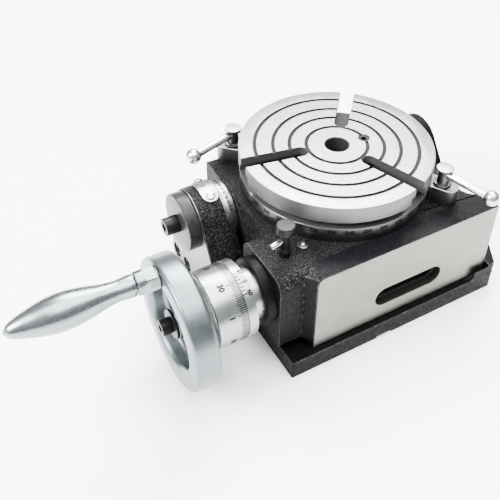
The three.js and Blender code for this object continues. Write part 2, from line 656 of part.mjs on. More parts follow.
function wheelLockNut() {
  const nut = turnedZ(tube(HUB_R + RUN, HUB_R + 7, HUB_BOTTOM + 0.5, WHEEL_Z.low - SEAT), BIG);
  const spannerSlots = [0, 90, 180, 270].map((turn) =>
    box(HUB_R + 4.5, HUB_R + 8, -2, 2, HUB_BOTTOM, WHEEL_Z.low).rotateZ(rad(turn)));
  return carve([nut], spannerSlots);
}

// ---------- worm drive, in a frame whose X axis is the worm axis ----------
/** A trapezoid thread wound round X, closed at both ends. */
function threadGeometry() {
  const root = WORM_PITCH_R - DEDENDUM - 0.2;
  const tip = WORM_PITCH_R + ADDENDUM;
  const section = [[root, -0.31], [root, 0.31], [tip, 0.12], [tip, -0.12]]
    .map(([r, part]) => [r, part * PITCH]);
  const perTurn = THREAD_STEPS;
  const steps = THREAD_TURNS * perTurn;
  const positions = [];
  for (let i = 0; i <= steps; i += 1) {
    const angle = (2 * Math.PI * i) / perTurn;
    const advance = PITCH * (i / perTurn - THREAD_TURNS / 2);
    section.forEach(([r, offset]) => {
      positions.push(advance + offset, r * Math.cos(angle), r * Math.sin(angle));
    });
  }
  const index = [0, 2, 1, 0, 3, 2];
  for (let i = 0; i < steps; i += 1) {
    for (let k = 0; k < 4; k += 1) {
      const [a, b] = [4 * i + k, 4 * i + ((k + 1) % 4)];
      index.push(a, b, b + 4, a, b + 4, a + 4);
    }
  }
  const last = 4 * steps;
  index.push(last, last + 1, last + 2, last, last + 2, last + 3);
  const geometry = new THREE.BufferGeometry();
  geometry.setAttribute('position', new THREE.Float32BufferAttribute(positions, 3));
  geometry.setIndex(index);
  return geometry;
}

function wormShaft() {
  const half = (PITCH * THREAD_TURNS) / 2 + 1;
  const root = WORM_PITCH_R - DEDENDUM;
  const tapEnd = WHEEL.hubLeft + HUB_BOLT.depth + 2;
  const shaft = turnedX([
    [0, SLEEVE.right - 3], [SHAFT_R, SLEEVE.right - 3], [SHAFT_R, half + 1], [root, half],
    [root, -half], [COLLAR_R, -half - 1], [COLLAR_R, WHEEL.hubLeft + 0.6],
    [HUB_BOLT.shank + SEAT, WHEEL.hubLeft + 0.6], [HUB_BOLT.shank + SEAT, tapEnd], [0, tapEnd],
  ], KNOB);
  return carve([shaft, threadGeometry()], [shaftKeySeat(SEAT)]);
}

/** The drive key between shaft and handwheel, or its seat when given a margin. */
function shaftKeySeat(margin) {
  const [left, right] = [WHEEL.hubLeft + 2, WHEEL.right - 3];
  const [low, high] = [COLLAR_R - 1.6, COLLAR_R + 1.4];
  return box(left - margin, right + margin, -1.5 - margin, 1.5 + margin, low - margin, high + margin);
}

/** Sleeve with an off-centre barrel; its window keeps a bridge on the side away from the wheel. */
function eccentricSleeve() {
  const off = { y: sleeveAxis().y - WORM.y, z: sleeveAxis().z - WORM.z };
  const barrel = rodX(SLEEVE.r, HOUSING.left - 1, SLEEVE.right, SMALL).translate(0, off.y, off.z);
  const flangeRight = HOUSING.left - SEAT;
  const flange = rodX(SLEEVE.flangeR, flangeRight - SLEEVE.flangeH, flangeRight, BIG);
  const nose = rodX(SLEEVE.noseR, SLEEVE.noseEnd, flangeRight - 1, BIG);
  const spigot = rodX(SPIGOT_R, VERNIER_RING.left + 0.4, SLEEVE.noseEnd + 1, SMALL);
  const bore = rodX(SLEEVE_BORE_R, VERNIER_RING.left - 1, WORM_WINDOW.x, SMALL);
  const pilot = rodX(SHAFT_R + RUN, WORM_WINDOW.x - 1, SLEEVE.right + 1, SMALL);
  const window = new THREE.Shape();
  const reach = SLEEVE.r * 2;
  const { keepFrom, keepTo } = WORM_WINDOW;
  window.moveTo(0, 0);
  window.lineTo(reach * Math.cos(rad(keepTo)), reach * Math.sin(rad(keepTo)));
  window.absarc(0, 0, reach, rad(keepTo), rad(keepFrom + 360), false);
  const opening = alongX(window, -WORM_WINDOW.x, WORM_WINDOW.x, 12).translate(0, off.y, off.z);
  const notch = box(SLEEVE.noseEnd + 1.6, flangeRight - SLEEVE.flangeH - 0.8,
    -SLEEVE.noseR - 1, -SLEEVE.noseR + 2.6, -3, 3);
  return carve([barrel, flange, nose, spigot], [bore, pilot, opening, notch]);
}

function wormBush() {
  const [left, right] = [VERNIER_RING.left + 0.6, -WORM_WINDOW.x - 8];
  return turnedX(tube(COLLAR_R + RUN, SLEEVE_BORE_R - SEAT, left, right), SMALL);
}

function vernierRing() {
  const { left, right } = VERNIER_RING;
  return turnedX([
    [SPIGOT_R + SEAT, right], [DIAL.r, right], [DIAL.r, left], [SPIGOT_R + SEAT, left],
  ], BIG);
}

function dialDrum() {
  const { r, left, right, knurlR, knurlW } = DIAL;
  return turnedX([
    [COLLAR_R + RUN, right], [r, right], [r, left + knurlW + 0.4], [knurlR - 0.4, left + knurlW],
    [knurlR, left + knurlW - 0.4], [knurlR, left], [COLLAR_R + RUN, left],
  ], BIG);
}

function handwheel() {
  const { r, right, left, rimInner, hubR, hubLeft } = WHEEL;
  const round = 2;
  const web = { right, left: right - 4 };
  const profile = [
    [COLLAR_R + SEAT, web.right], [r - round, web.right], [r, web.right - round], [r, left + round],
    [r - round * 0.3, left + round * 0.3], [r - round, left], [rimInner + 1.5, left],
    [rimInner, left + 1.5], [rimInner, web.left], [hubR, web.left], [hubR, hubLeft],
    [COLLAR_R + SEAT, hubLeft],
  ];
  const keySeat = box(hubLeft - 1, right + 1, -1.5 - SEAT, 1.5 + SEAT, 0, COLLAR_R + 1.4 + SEAT);
  const pinHole = rodX(3.1, left - 1, left + 8, TINY).translate(0, ...handleOffset());
  return carve([turnedX(profile, BIG)], [keySeat, pinHole]);
}

function handleOffset() {
  return [HANDLE.r * Math.cos(rad(HANDLE.angle)), HANDLE.r * Math.sin(rad(HANDLE.angle))];
}

function hubWasher() {
  const right = WHEEL.hubLeft - SEAT;
  return turnedX(tube(HUB_BOLT.shank + SEAT, HUB_WASHER.r, right - HUB_WASHER.h, right), KNOB);
}

function hubScrew() {
  const seat = WHEEL.hubLeft - HUB_WASHER.h - 2 * SEAT;
  return capScrewX({ ...HUB_BOLT, length: HUB_BOLT.depth }, seat, -1);
}

/** Pin that carries the grip: a stub in the rim, a ferrule with two flats, and a stem. */
function handlePin() {
  const { ferruleEnd, ferruleR, tip, stem } = HANDLE;
  const face = WHEEL.left - SEAT;
  const body = turnedX([
    [0, WHEEL.left + 7], [3, WHEEL.left + 7], [3, face], [ferruleR - 0.5, face], [ferruleR, face - 0.5],
    [ferruleR, ferruleEnd + 0.4], [ferruleR - 0.4, ferruleEnd], [stem, ferruleEnd], [stem, tip + 14],
    [0, tip + 14],
  ], KNOB);
  const flat = (side) => box(face - 6.5, face - 1, side > 0 ? ferruleR - 1.1 : -ferruleR - 1,
    side > 0 ? ferruleR + 1 : -ferruleR + 1.1, -ferruleR, ferruleR);
  return carve([body], [flat(1), flat(-1)]);
}

/** Pear-shaped grip: a slim neck, a full belly and a domed end. */
function handleGrip() {
  const { ferruleEnd, tip, stem } = HANDLE;
  const start = ferruleEnd - 0.3;
  const length = start - tip;
  const belly = new THREE.CatmullRomCurve3([
    [0.02, 5.65], [0.14, 5.15], [0.34, 7.3], [0.55, 9.05], [0.74, 7.6], [0.89, 5], [0.975, 2.6],
  ].map(([part, r]) => new THREE.Vector3(r, start - part * length, 0)));
  const outer = belly.getPoints(11).map((p) => [p.x, p.y]);
  return turnedX([
    [stem + RUN, start], [5.4, start], ...outer, [0, tip], [0, tip + 13],
    [stem + RUN, tip + 13],
  ], KNOB);
}

// ---------- assembly ----------
const base = new THREE.Group();
base.add(piece('base_casting', baseCasting(), castBlack()));
base.add(piece('left_bracket', leftBracket(), castBlack()));
BRACKET_BOLT_Y.forEach((y, i) => base.add(piece(`bracket_bolt_${i + 1}`, bracketBolt(y), blackOxide())));
base.add(piece('tilt_vernier_plate', vernierPlate(), castAluminium()));
['rear', 'front'].forEach((end, i) =>
  base.add(piece(`vernier_screw_${end}`, vernierScrew(VERNIER_PLATE.screws[i]), satinChrome())));

const cradle = new THREE.Group();
cradle.add(piece('cradle_housing', cradleHousing(), castBlack()));
cradle.add(piece('bottom_cover',
  rodZ(COVER.r, BODY.bottom, BODY.bottom + COVER.h, BIG), blackOxide()));
cradle.add(piece('table_bush',
  turnedZ(tube(HUB_R + RUN, BUSH_R - SEAT, CAVITY_TOP, CRADLE_TOP - 0.2), BIG), bronze()));
cradle.add(piece('tilt_scale_band', onTiltAxis(turnedX(
  tube(BOSS.r + SEAT, BOSS.r + SCALE_BAND.h, SCALE_BAND.left, SCALE_BAND.right), BIG)), castAluminium()));
cradle.add(piece('tilt_washer', tiltWasher(), blackOxide()));
cradle.add(piece('tilt_clamp_screw', tiltClampScrew(), blackOxide()));
cradle.add(piece('clamp_block_left',
  placedClampBlock(CLAMP.azimuths.left, CLAMP_BLOCK.leftTurn), blackOxide()));
cradle.add(piece('clamp_block_right',
  placedClampBlock(CLAMP.azimuths.right, CLAMP_BLOCK.rightTurn), blackOxide()));
cradle.add(piece('ball_oiler', ballOiler().translate(OILER.x, OILER.y, 0), satinChrome()));
cradle.add(clampGroup('left', LEVER.left), clampGroup('right', LEVER.right));

const lock = placed(new THREE.Group(), LOCK.x, LOCK.y, 0);
lock.add(piece('sleeve_lock_screw', lockScrew(), blackOxide()));
lock.add(piece('lock_screw_pin', lockScrewPin(), satinChrome()));
cradle.add(lock);

const table = new THREE.Group();
const topGroup = new THREE.Group();
topGroup.rotation.z = rad(SLOT_AZIMUTH);
topGroup.add(piece('rotary_table', rotaryTable(), groundSteel()));
topGroup.add(placed(piece('table_plug', tablePlug(), blackOxide()), ...plugPosition(), 0));
topGroup.add(piece('wheel_key', wheelKey(), groundSteel()));
table.add(topGroup);
table.add(piece('worm_wheel', wormWheel(), bronze()));
table.add(piece('wheel_lock_nut', wheelLockNut(), blackOxide()));

const drive = placed(new THREE.Group(), 0, WORM.y, WORM.z);
drive.add(piece('eccentric_sleeve', eccentricSleeve(), groundSteel()));
drive.add(piece('worm_bush', wormBush(), bronze()));
drive.add(piece('vernier_ring', vernierRing(), satinChrome()));
drive.add(piece('worm_shaft', wormShaft(), groundSteel()));
drive.add(piece('dial_drum', dialDrum(), satinChrome()));
drive.add(piece('handwheel', handwheel(), castAluminium()));
drive.add(piece('handwheel_key', shaftKeySeat(0), groundSteel()));
drive.add(piece('hub_washer', hubWasher(), blackOxide()));
drive.add(piece('hub_screw', hubScrew(), blackOxide()));
const handle = placed(new THREE.Group(), 0, ...handleOffset());
handle.add(piece('handle_pin', handlePin(), satinChrome()));
handle.add(piece('handle_grip', handleGrip(), castAluminium()));
drive.add(handle);

const rotaryTableUnit = new THREE.Group();
rotaryTableUnit.add(base, cradle, table, drive);
export default rotaryTableUnit;
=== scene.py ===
"""Looks for the tilting rotary table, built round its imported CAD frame.

Sizes are in millimetres in the part's frame: +X runs along the worm and tilt axes away from the
handwheel, +Y runs to the back, +Z is up, and the origin is under the table's turning axis.
"""

import math
import random

import bmesh
import bpy
from mathutils import Matrix, Vector


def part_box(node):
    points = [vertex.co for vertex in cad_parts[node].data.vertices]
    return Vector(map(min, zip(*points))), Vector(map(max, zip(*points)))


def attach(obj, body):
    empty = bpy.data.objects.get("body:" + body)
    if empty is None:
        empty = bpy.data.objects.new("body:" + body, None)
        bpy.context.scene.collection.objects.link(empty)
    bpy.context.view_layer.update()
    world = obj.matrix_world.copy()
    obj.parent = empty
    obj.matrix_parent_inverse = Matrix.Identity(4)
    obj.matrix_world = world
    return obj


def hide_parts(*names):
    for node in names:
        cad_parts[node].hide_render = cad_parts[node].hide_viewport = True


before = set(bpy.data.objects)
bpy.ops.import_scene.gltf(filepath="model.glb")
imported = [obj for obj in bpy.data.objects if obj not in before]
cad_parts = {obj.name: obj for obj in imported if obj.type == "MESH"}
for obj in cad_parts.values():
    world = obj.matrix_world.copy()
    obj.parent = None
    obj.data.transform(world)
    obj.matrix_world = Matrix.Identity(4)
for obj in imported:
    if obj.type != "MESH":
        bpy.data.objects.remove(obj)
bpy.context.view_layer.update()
MM = 0.001


def low(node):
    """The lowest corner of a CAD node's box."""
    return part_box(node)[0] / MM


def high(node):
    """The highest corner of a CAD node's box."""
    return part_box(node)[1] / MM


def middle(node):
    """The centre of a CAD node's box."""
    return (low(node) + high(node)) / 2


# ---------- dimensions, taken from the frame where the CAD has them ----------
TABLE_TOP = high("rotary_table").z
TABLE_R = 55.0
RIM_LOW = TABLE_TOP - 10
NECK_R = 50.0
LIP_TOP = RIM_LOW - 4.5
LIP_R = 54.5
CRADLE_TOP = 64.0
BASE_H = 12.0
BORE_R = 6.6
GROOVES = (17.2, 26.6, 35.8, 46.0)
GROOVE_W = 2.2
GROOVE_D = 1.1
SLOT_TURNS = (50, 170, 290)
SLOT_MOUTH = 8.4
SLOT_FOOT = 13.5
SLOT_INNER = 17.5

WORM_Y = middle("vernier_ring").y
WORM_Z = middle("vernier_ring").z
TILT_Y = middle("tilt_washer").y
TILT_Z = middle("tilt_washer").z
WORM_AXIS = (WORM_Y, WORM_Z)
TILT_AXIS = (TILT_Y, TILT_Z)
EAR_R = 17.8
EAR_LEFT = -66.8  # inner faces of the two ears
EAR_RIGHT = 64.4
WEB_RIGHT = -62.3
WEB_RECESS = 2.5
EAR_OUT = 82.0
DRUM_R = (high("dial_drum").z - low("dial_drum").z) / 2
DRUM_RIGHT = high("dial_drum").x
DRUM_LEFT = low("dial_drum").x
WHEEL_R = (high("handwheel").z - low("handwheel").z) / 2
WHEEL_RIGHT = high("handwheel").x
WHEEL_LEFT = low("handwheel").x
GRIP_Y = middle("handle_grip").y
GRIP_Z = middle("handle_grip").z

FACETS = 144  # round a large turned piece
GAP = 0.1  # between pieces that touch
SCREW_HOLE_R = 2.7
SHAFT_HOLE_R = 6.1
TRUNNION_BORE_R = 10.1


# ---------- outlines ----------
def rounded(points, steps=4):
    """An outline whose (x, y, size) corners become curves that start that size away from them."""
    out = []
    for i, point in enumerate(points):
        here = Vector(point[:2])
        if len(point) < 3:
            out.append(here)
            continue
        before = Vector(points[i - 1][:2])
        after = Vector(points[(i + 1) % len(points)][:2])
        start = here + (before - here).normalized() * point[2]
        end = here + (after - here).normalized() * point[2]
        for k in range(steps + 1):
            t = k / steps
            out.append(start * (1 - t) ** 2 + here * 2 * t * (1 - t) + end * t**2)
    return out


def arc(x, y, r, start, end, steps=24):
    """Points round part of a circle, from one angle to another in degrees."""
    angles = [math.radians(start + (end - start) * k / steps) for k in range(steps + 1)]
    return [(x + r * math.cos(a), y + r * math.sin(a)) for a in angles]


def polar(r, degrees):
    a = math.radians(degrees)
    return (r * math.cos(a), r * math.sin(a))


def slot_outline(x0, x1, y, width, steps=16):
    """A straight slot with round ends, lying along the first axis."""
    r = width / 2
    return arc(x1 - r, y, r, -90, 90, steps) + arc(x0 + r, y, r, 90, 270, steps)


# ---------- solids, as bmeshes in millimetres ----------
def lathe(profile, axis="Z", centre=(0, 0), facets=FACETS):
    """Turn a closed (radius, station) profile round a line parallel to an axis."""
    bm = bmesh.new()
    rings = []
    for r, s in profile:
        count = facets if r > 1e-6 else 1
        ring = []
        for k in range(count):
            a = 2 * math.pi * k / facets
            u = centre[0] + r * math.cos(a)
            v = centre[1] + r * math.sin(a)
            ring.append(bm.verts.new((s, u, v) if axis == "X" else (u, v, s)))
        rings.append(ring)
    closes = len(rings[0]) > 1 or len(rings[-1]) > 1
    pairs = list(zip(rings, rings[1:])) + ([(rings[-1], rings[0])] if closes else [])
    for one, two in pairs:
        if len(one) == 1 and len(two) == 1:
            continue
        for k in range(facets):
            n = (k + 1) % facets
            corners = [one[k % len(one)], one[n % len(one)], two[n % len(two)], two[k % len(two)]]
            bm.faces.new(list(dict.fromkeys(corners)))
    bmesh.ops.recalc_face_normals(bm, faces=bm.faces)
    return bm


def prism(outline, start, end, axis="Z"):
    """Extrude an outline along an axis; it lies in the other two axes, in X, Y, Z order."""
    bm = bmesh.new()

    def at(point, s):
        u, v = point[0], point[1]
        return {"X": (s, u, v), "Y": (u, s, v), "Z": (u, v, s)}[axis]

    near = [bm.verts.new(at(p, start)) for p in outline]
    far = [bm.verts.new(at(p, end)) for p in outline]
    bm.faces.new(near)
    bm.faces.new(far[::-1])
    for k in range(len(outline)):
        n = (k + 1) % len(outline)
        bm.faces.new((near[k], near[n], far[n], far[k]))
    bmesh.ops.recalc_face_normals(bm, faces=bm.faces)
    return bm


def tube(rings):
    """A closed solid skinned over a row of rings, each a list of the same number of points."""
    bm = bmesh.new()
    rings = [[bm.verts.new(point) for point in ring] for ring in rings]
    for one, two in zip(rings, rings[1:]):
        for k in range(len(one)):
            n = (k + 1) % len(one)
            bm.faces.new((one[k], one[n], two[n], two[k]))
    bm.faces.new(rings[0])
    bm.faces.new(rings[-1][::-1])
    bmesh.ops.recalc_face_normals(bm, faces=bm.faces)
    return bm


def block(x0, x1, y0, y1, z0, z1):
    return prism([(x0, y0), (x1, y0), (x1, y1), (x0, y1)], z0, z1)


def rod(r, start, end, axis="X", centre=(0, 0), facets=48):
    return lathe([(0, start), (r, start), (r, end), (0, end)], axis, centre, facets)


def moved(bm, matrix):
    bmesh.ops.transform(bm, matrix=matrix, verts=bm.verts)
    return bm


def shift(x, y, z):
    return Matrix.Translation((x, y, z))


def turn(degrees, axis):
    return Matrix.Rotation(math.radians(degrees), 4, axis)


def as_mesh(name, bm):
    mesh = bpy.data.meshes.new(name)
    bm.to_mesh(mesh)
    bm.free()
    return mesh


def linked(name, data):
    obj = bpy.data.objects.new(name, data)
    bpy.context.collection.objects.link(obj)
    return obj


def combine(bm, tools, operation="DIFFERENCE"):
    """Cut the tools from a solid, or join them to it, and merge the flat faces this leaves."""
    target, *others = [linked("tool", as_mesh("tool", solid)) for solid in (bm, *tools)]
    for other in others:
        step = target.modifiers.new("step", "BOOLEAN")
        step.object = other
        step.operation = operation
        step.solver = "EXACT"
    graph = bpy.context.evaluated_depsgraph_get()
    mesh = bpy.data.meshes.new_from_object(target.evaluated_get(graph))
    out = bmesh.new()
    out.from_mesh(mesh)
    for obj in [target, *others]:
        bpy.data.objects.remove(obj)
    bmesh.ops.remove_doubles(out, verts=out.verts, dist=0.002)
    bmesh.ops.dissolve_limit(out, angle_limit=math.radians(0.4), verts=out.verts, edges=out.edges)
    bmesh.ops.recalc_face_normals(out, faces=out.faces)
    return out


def join(*solids):
    return combine(solids[0], solids[1:], "UNION")


def together(*parts):
    """Several bmeshes as one, without joining their surfaces."""
    out = bmesh.new()
    for part in parts:
        mesh = as_mesh("part", part)
        out.from_mesh(mesh)
        bpy.data.meshes.remove(mesh)
    return out


def mark(bm, index, test):
    """Give the faces that pass a test of (centre, normal) the look at an index in the piece's list."""
    bm.normal_update()
    for face in bm.faces:
        if test(face.calc_center_median(), face.normal):
            face.material_index = index


def piece(name, bm, looks, body, nodes, edge=0.0, sharp=32, edge_look=-1):
    """Turn a solid into a shown object that rides on a body and stands for CAD nodes.

    Sharp edges are broken by the edge width, and edge_look picks which of the looks they get.
    """
    bmesh.ops.scale(bm, vec=(MM, MM, MM), verts=bm.verts)
    mesh = as_mesh(name, bm)
    for look in looks if isinstance(looks, list) else [looks]:
        mesh.materials.append(look)
    mesh.shade_smooth()
    mesh.set_sharp_from_angle(angle=math.radians(sharp))
    obj = linked(name, mesh)
    if edge:
        bevel = obj.modifiers.new("broken_edge", "BEVEL")
        bevel.width = edge * MM
        bevel.segments = 2
        bevel.material = edge_look
        bevel.limit_method = "ANGLE"
        bevel.angle_limit = math.radians(sharp)
        bevel.harden_normals = True
        bevel.use_clamp_overlap = False
    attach(obj, body)
    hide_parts(*nodes)
    return obj


# ---------- looks ----------
class Look:
    """A material under construction: a Principled shader plus procedural nodes in millimetres."""

    def __init__(self, name, colour, metallic, roughness):
        self.material = bpy.data.materials.new(name)
        self.material.use_nodes = True
        self.nodes = self.material.node_tree.nodes
        self.links = self.material.node_tree.links
        self.shader = self.nodes["Principled BSDF"]
        self.shader.inputs["Base Color"].default_value = (*colour, 1)
        self.shader.inputs["Metallic"].default_value = metallic
        self.shader.inputs["Roughness"].default_value = roughness
        self.normal = None

    def put(self, socket, value):
        if isinstance(value, bpy.types.NodeSocket):
            self.links.new(value, socket)
        else:
            socket.default_value = value

    def node(self, kind, **values):
        node = self.nodes.new(kind)
        for key, value in values.items():
            self.put(node.inputs[key.replace("_", " ")], value)
        return node.outputs[0]

    def place(self, stretch=(1, 1, 1)):
        """Object coordinates in millimetres, stretched by a factor for each axis."""
        coordinates = self.nodes.new("ShaderNodeTexCoord").outputs["Object"]
        scale = tuple(s / MM for s in stretch)
        return self.node("ShaderNodeMapping", Vector=coordinates, Scale=scale)

    def noise(self, per_mm, detail=2.0, rough=0.5, stretch=(1, 1, 1)):
        place = self.place(stretch)
        return self.node("ShaderNodeTexNoise", Vector=place, Scale=per_mm, Detail=detail, Roughness=rough)

    def ranged(self, value, start, end, to_start, to_end):
        node = self.nodes.new("ShaderNodeMapRange")
        sockets = ("Value", "From Min", "From Max", "To Min", "To Max")
        for key, entry in zip(sockets, (value, start, end, to_start, to_end)):
            self.put(node.inputs[key], entry)
        return node.outputs[0]

    def blend(self, factor, one, two):
        node = self.nodes.new("ShaderNodeMix")
        node.data_type = "RGBA"
        self.put(node.inputs[0], factor)
        for socket, colour in ((node.inputs[6], one), (node.inputs[7], two)):
            self.put(socket, (*colour, 1) if isinstance(colour, tuple) else colour)
        return node.outputs[2]

    def colour(self, factor, one, two):
        self.put(self.shader.inputs["Base Color"], self.blend(factor, one, two))

    def roughness(self, factor, start, end):
        self.put(self.shader.inputs["Roughness"], self.ranged(factor, 0.3, 0.7, start, end))

    def bump(self, height, depth_mm, strength=1.0):
        node = self.nodes.new("ShaderNodeBump")
        self.put(node.inputs["Height"], height)
        node.inputs["Distance"].default_value = depth_mm * MM
        node.inputs["Strength"].default_value = strength
        if self.normal:
            self.put(node.inputs["Normal"], self.normal)
        self.normal = node.outputs[0]
        self.put(self.shader.inputs["Normal"], self.normal)


def textured_paint(name, dark, glint_colour, per_mm, depth, rough, high_spots=(0.50, 0.78)):
    """Coarse black paint: pebbled, with paler high spots painted in as glints on the peaks."""
    look = Look(name, dark, 0.0, rough)
    look.shader.inputs["Specular IOR Level"].default_value = 0.06
    grain = look.noise(per_mm, 3, 0.6)
    swell = look.noise(per_mm * 0.25, 2)
    # painted glints: the paler colour sits on the grain's peaks, where gloss would catch the light
    look.colour(look.ranged(grain, *high_spots, 0, 1), dark, glint_colour)
    look.roughness(look.noise(per_mm * 0.6, 2), rough - 0.1, rough + 0.14)
    look.bump(swell, depth * 1.6)
    look.bump(grain, depth)
    return look.material


def metal(name, colour, shade, rough, stretch, per_mm=1.0, depth=0.004, spots=0.0):
    """Machined metal with fine marks drawn out along the tool's path."""
    look = Look(name, colour, 1.0, rough)
    lines = look.noise(per_mm, 3, 0.6, stretch)
    cloud = look.noise(0.09, 3)
    look.colour(look.ranged(cloud, 0.3, 0.75, 0, 1), colour, shade)
    if spots:
        speck = look.ranged(look.noise(0.9, 3, 0.8), 0.46, 0.62, 0, spots)
        base = look.shader.inputs["Base Color"].links[0].from_socket
        look.put(look.shader.inputs["Base Color"], look.blend(speck, base, (0.14, 0.14, 0.135)))
    look.roughness(look.noise(0.35, 3), rough - 0.03, rough + 0.04)
    look.bump(lines, depth, 0.5)
    return look.material


def oxide(name, colour, rough):
    """Black oxide over machined steel: thin, satin, rubbed a little paler in places."""
    look = Look(name, colour, 0.15, rough)
    look.shader.inputs["Specular IOR Level"].default_value = 0.15
    rub = look.noise(0.5, 4, 0.6)
    paler = tuple(min(1.0, 2.4 * c) for c in colour)
    look.colour(look.ranged(rub, 0.5, 0.8, 0, 1), colour, paler)
    look.roughness(look.noise(0.8, 2), rough - 0.08, rough + 0.1)
    look.bump(look.noise(5.0, 2), 0.01)
    return look.material


def ink(name, colour):
    """Paint wiped into engraved lines; the same dark matte look also paints shade into slots and holes, and
    dirt and shade into the grooves.
    """
    look = Look(name, colour, 0.0, 0.7)
    look.shader.inputs["Specular IOR Level"].default_value = 0.1
    look.colour(look.ranged(look.noise(3.0, 2), 0.4, 0.7, 0, 1), colour, tuple(2.2 * c for c in colour))
    return look.material


ROUND_X = (5.0, 0.25, 0.25)  # turning marks round the X axis
ROUND_Z = (0.25, 0.25, 5.0)  # turning marks round the Z axis
LONG_X = (0.12, 3.0, 3.0)  # grinding marks along the X axis

BODY_PAINT = textured_paint("body_paint", (0.0012, 0.0012, 0.0015), (0.055, 0.055, 0.058), 1.25, 0.4, 0.5)
BASE_PAINT = textured_paint("base_paint", (0.0006, 0.0006, 0.0009), (0.004, 0.004, 0.0048), 0.9, 0.07, 0.5,
                            (0.5, 0.8))
SMOOTH_PAINT = textured_paint("smooth_paint", (0.0014, 0.0013, 0.0018), (0.007, 0.0065, 0.009), 0.9, 0.1, 0.5)
SEAM_PAINT = textured_paint("seam_paint", (0.0003, 0.0003, 0.0004), (0.03, 0.03, 0.033), 0.8, 0.5, 0.5)
# paler paint for the broken edges: a painted highlight along them
EDGE_HIGHLIGHT_PAINT = textured_paint("edge_highlight_paint", (0.018, 0.018, 0.019), (0.09, 0.09, 0.093), 0.9, 0.1, 0.45)
TABLE_STEEL = metal("table_steel", (0.33, 0.33, 0.316), (0.27, 0.27, 0.26), 0.36, LONG_X, 1.2, 0.006, 0.8)
RIM_STEEL = metal("rim_steel", (0.15, 0.15, 0.147), (0.13, 0.13, 0.127), 0.5, ROUND_Z, 1.0, 0.006)
FACE_STEEL = metal("face_steel", (0.165, 0.166, 0.148), (0.135, 0.136, 0.120), 0.36, LONG_X, 1.0, 0.004, 0.12)
DIAL_CHROME = metal("dial_chrome", (0.30, 0.315, 0.315), (0.26, 0.275, 0.275), 0.3, ROUND_X, 1.6, 0.003)
RING_STEEL = metal("ring_steel", (0.13, 0.13, 0.128), (0.10, 0.10, 0.098), 0.32, ROUND_Z, 1.0, 0.003)
KNURL_STEEL = metal("knurl_steel", (0.16, 0.165, 0.165), (0.12, 0.125, 0.125), 0.4, ROUND_X, 1.6, 0.006)
WHEEL_ALUMINIUM = metal("wheel_aluminium", (0.150, 0.172, 0.180), (0.115, 0.134, 0.142), 0.34, ROUND_X,
                        0.8, 0.006)
GRIP_ALUMINIUM = metal("grip_aluminium", (0.215, 0.245, 0.25), (0.16, 0.188, 0.194), 0.27, ROUND_X,
                       0.9, 0.008)
CHROME = metal("lever_chrome", (0.62, 0.63, 0.64), (0.52, 0.53, 0.54), 0.24, (1, 1, 1), 1.0, 0.002)
STUD_STEEL = metal("stud_steel", (0.09, 0.09, 0.093), (0.06, 0.06, 0.062), 0.34, ROUND_Z, 1.0, 0.005)
BLOCK_STEEL = metal("block_steel", (0.11, 0.11, 0.112), (0.08, 0.08, 0.082), 0.38, LONG_X, 1.0, 0.006)
PLATE_METAL = metal("plate_metal", (0.36, 0.365, 0.36), (0.28, 0.285, 0.28), 0.34, LONG_X, 1.4, 0.008)
BLACK_OXIDE = oxide("black_oxide", (0.0035, 0.0035, 0.004), 0.36)
WASHER_BLACK = oxide("washer_black", (0.012, 0.012, 0.013), 0.34)
BRONZE = metal("bush_bronze", (0.62, 0.40, 0.17), (0.50, 0.31, 0.12), 0.32, ROUND_Z, 1.0, 0.005)
INK = ink("engraved_black", (0.003, 0.003, 0.0035))
# painted shade for the T-slots' insides and the neck under the rim
SLOT_SHADE_PAINT = ink("slot_painted_shade", (0.022, 0.022, 0.022))
# dark fill for the table's grooves and bore: dirt and painted shade
GROOVE_DIRT_AND_SHADE = ink("groove_dirt_and_painted_shade", (0.009, 0.009, 0.009))
# painted shade for the flange slot's inside and the oiler's cup
HOLE_SHADE_PAINT = ink("hole_painted_shade", (0.006, 0.0055, 0.0045))


# ---------- base ----------
def tangent_angle(y, z, r):
    """Where the straight flank from a corner touches the round ear, in degrees from the back."""
    reach, drop = abs(y - TILT_Y), z - TILT_Z
    return math.degrees(math.atan2(drop, reach) + math.acos(r / math.hypot(reach, drop)))


def support_outline(front, back, shoulder, foot_low, r=EAR_R):
    """End view of a trunnion support: straight flanks that run up to meet a round ear."""
    start, end = tangent_angle(back, shoulder, r), 180 - tangent_angle(front, shoulder, r)
    crown = arc(TILT_Y, TILT_Z, r, start, end, 40)
    return [(front, foot_low), (back, foot_low), (back, shoulder), *crown, (front, shoulder)]


PEDESTAL_FRONT = -2.7
FOOT_FRONT, FOOT_BACK = -17.0, 51.0
BRACKET_BOLT_Y = (-10.3, 4.2, 30.2, 44.7)
BRACKET_BOLT_Z = 6.3


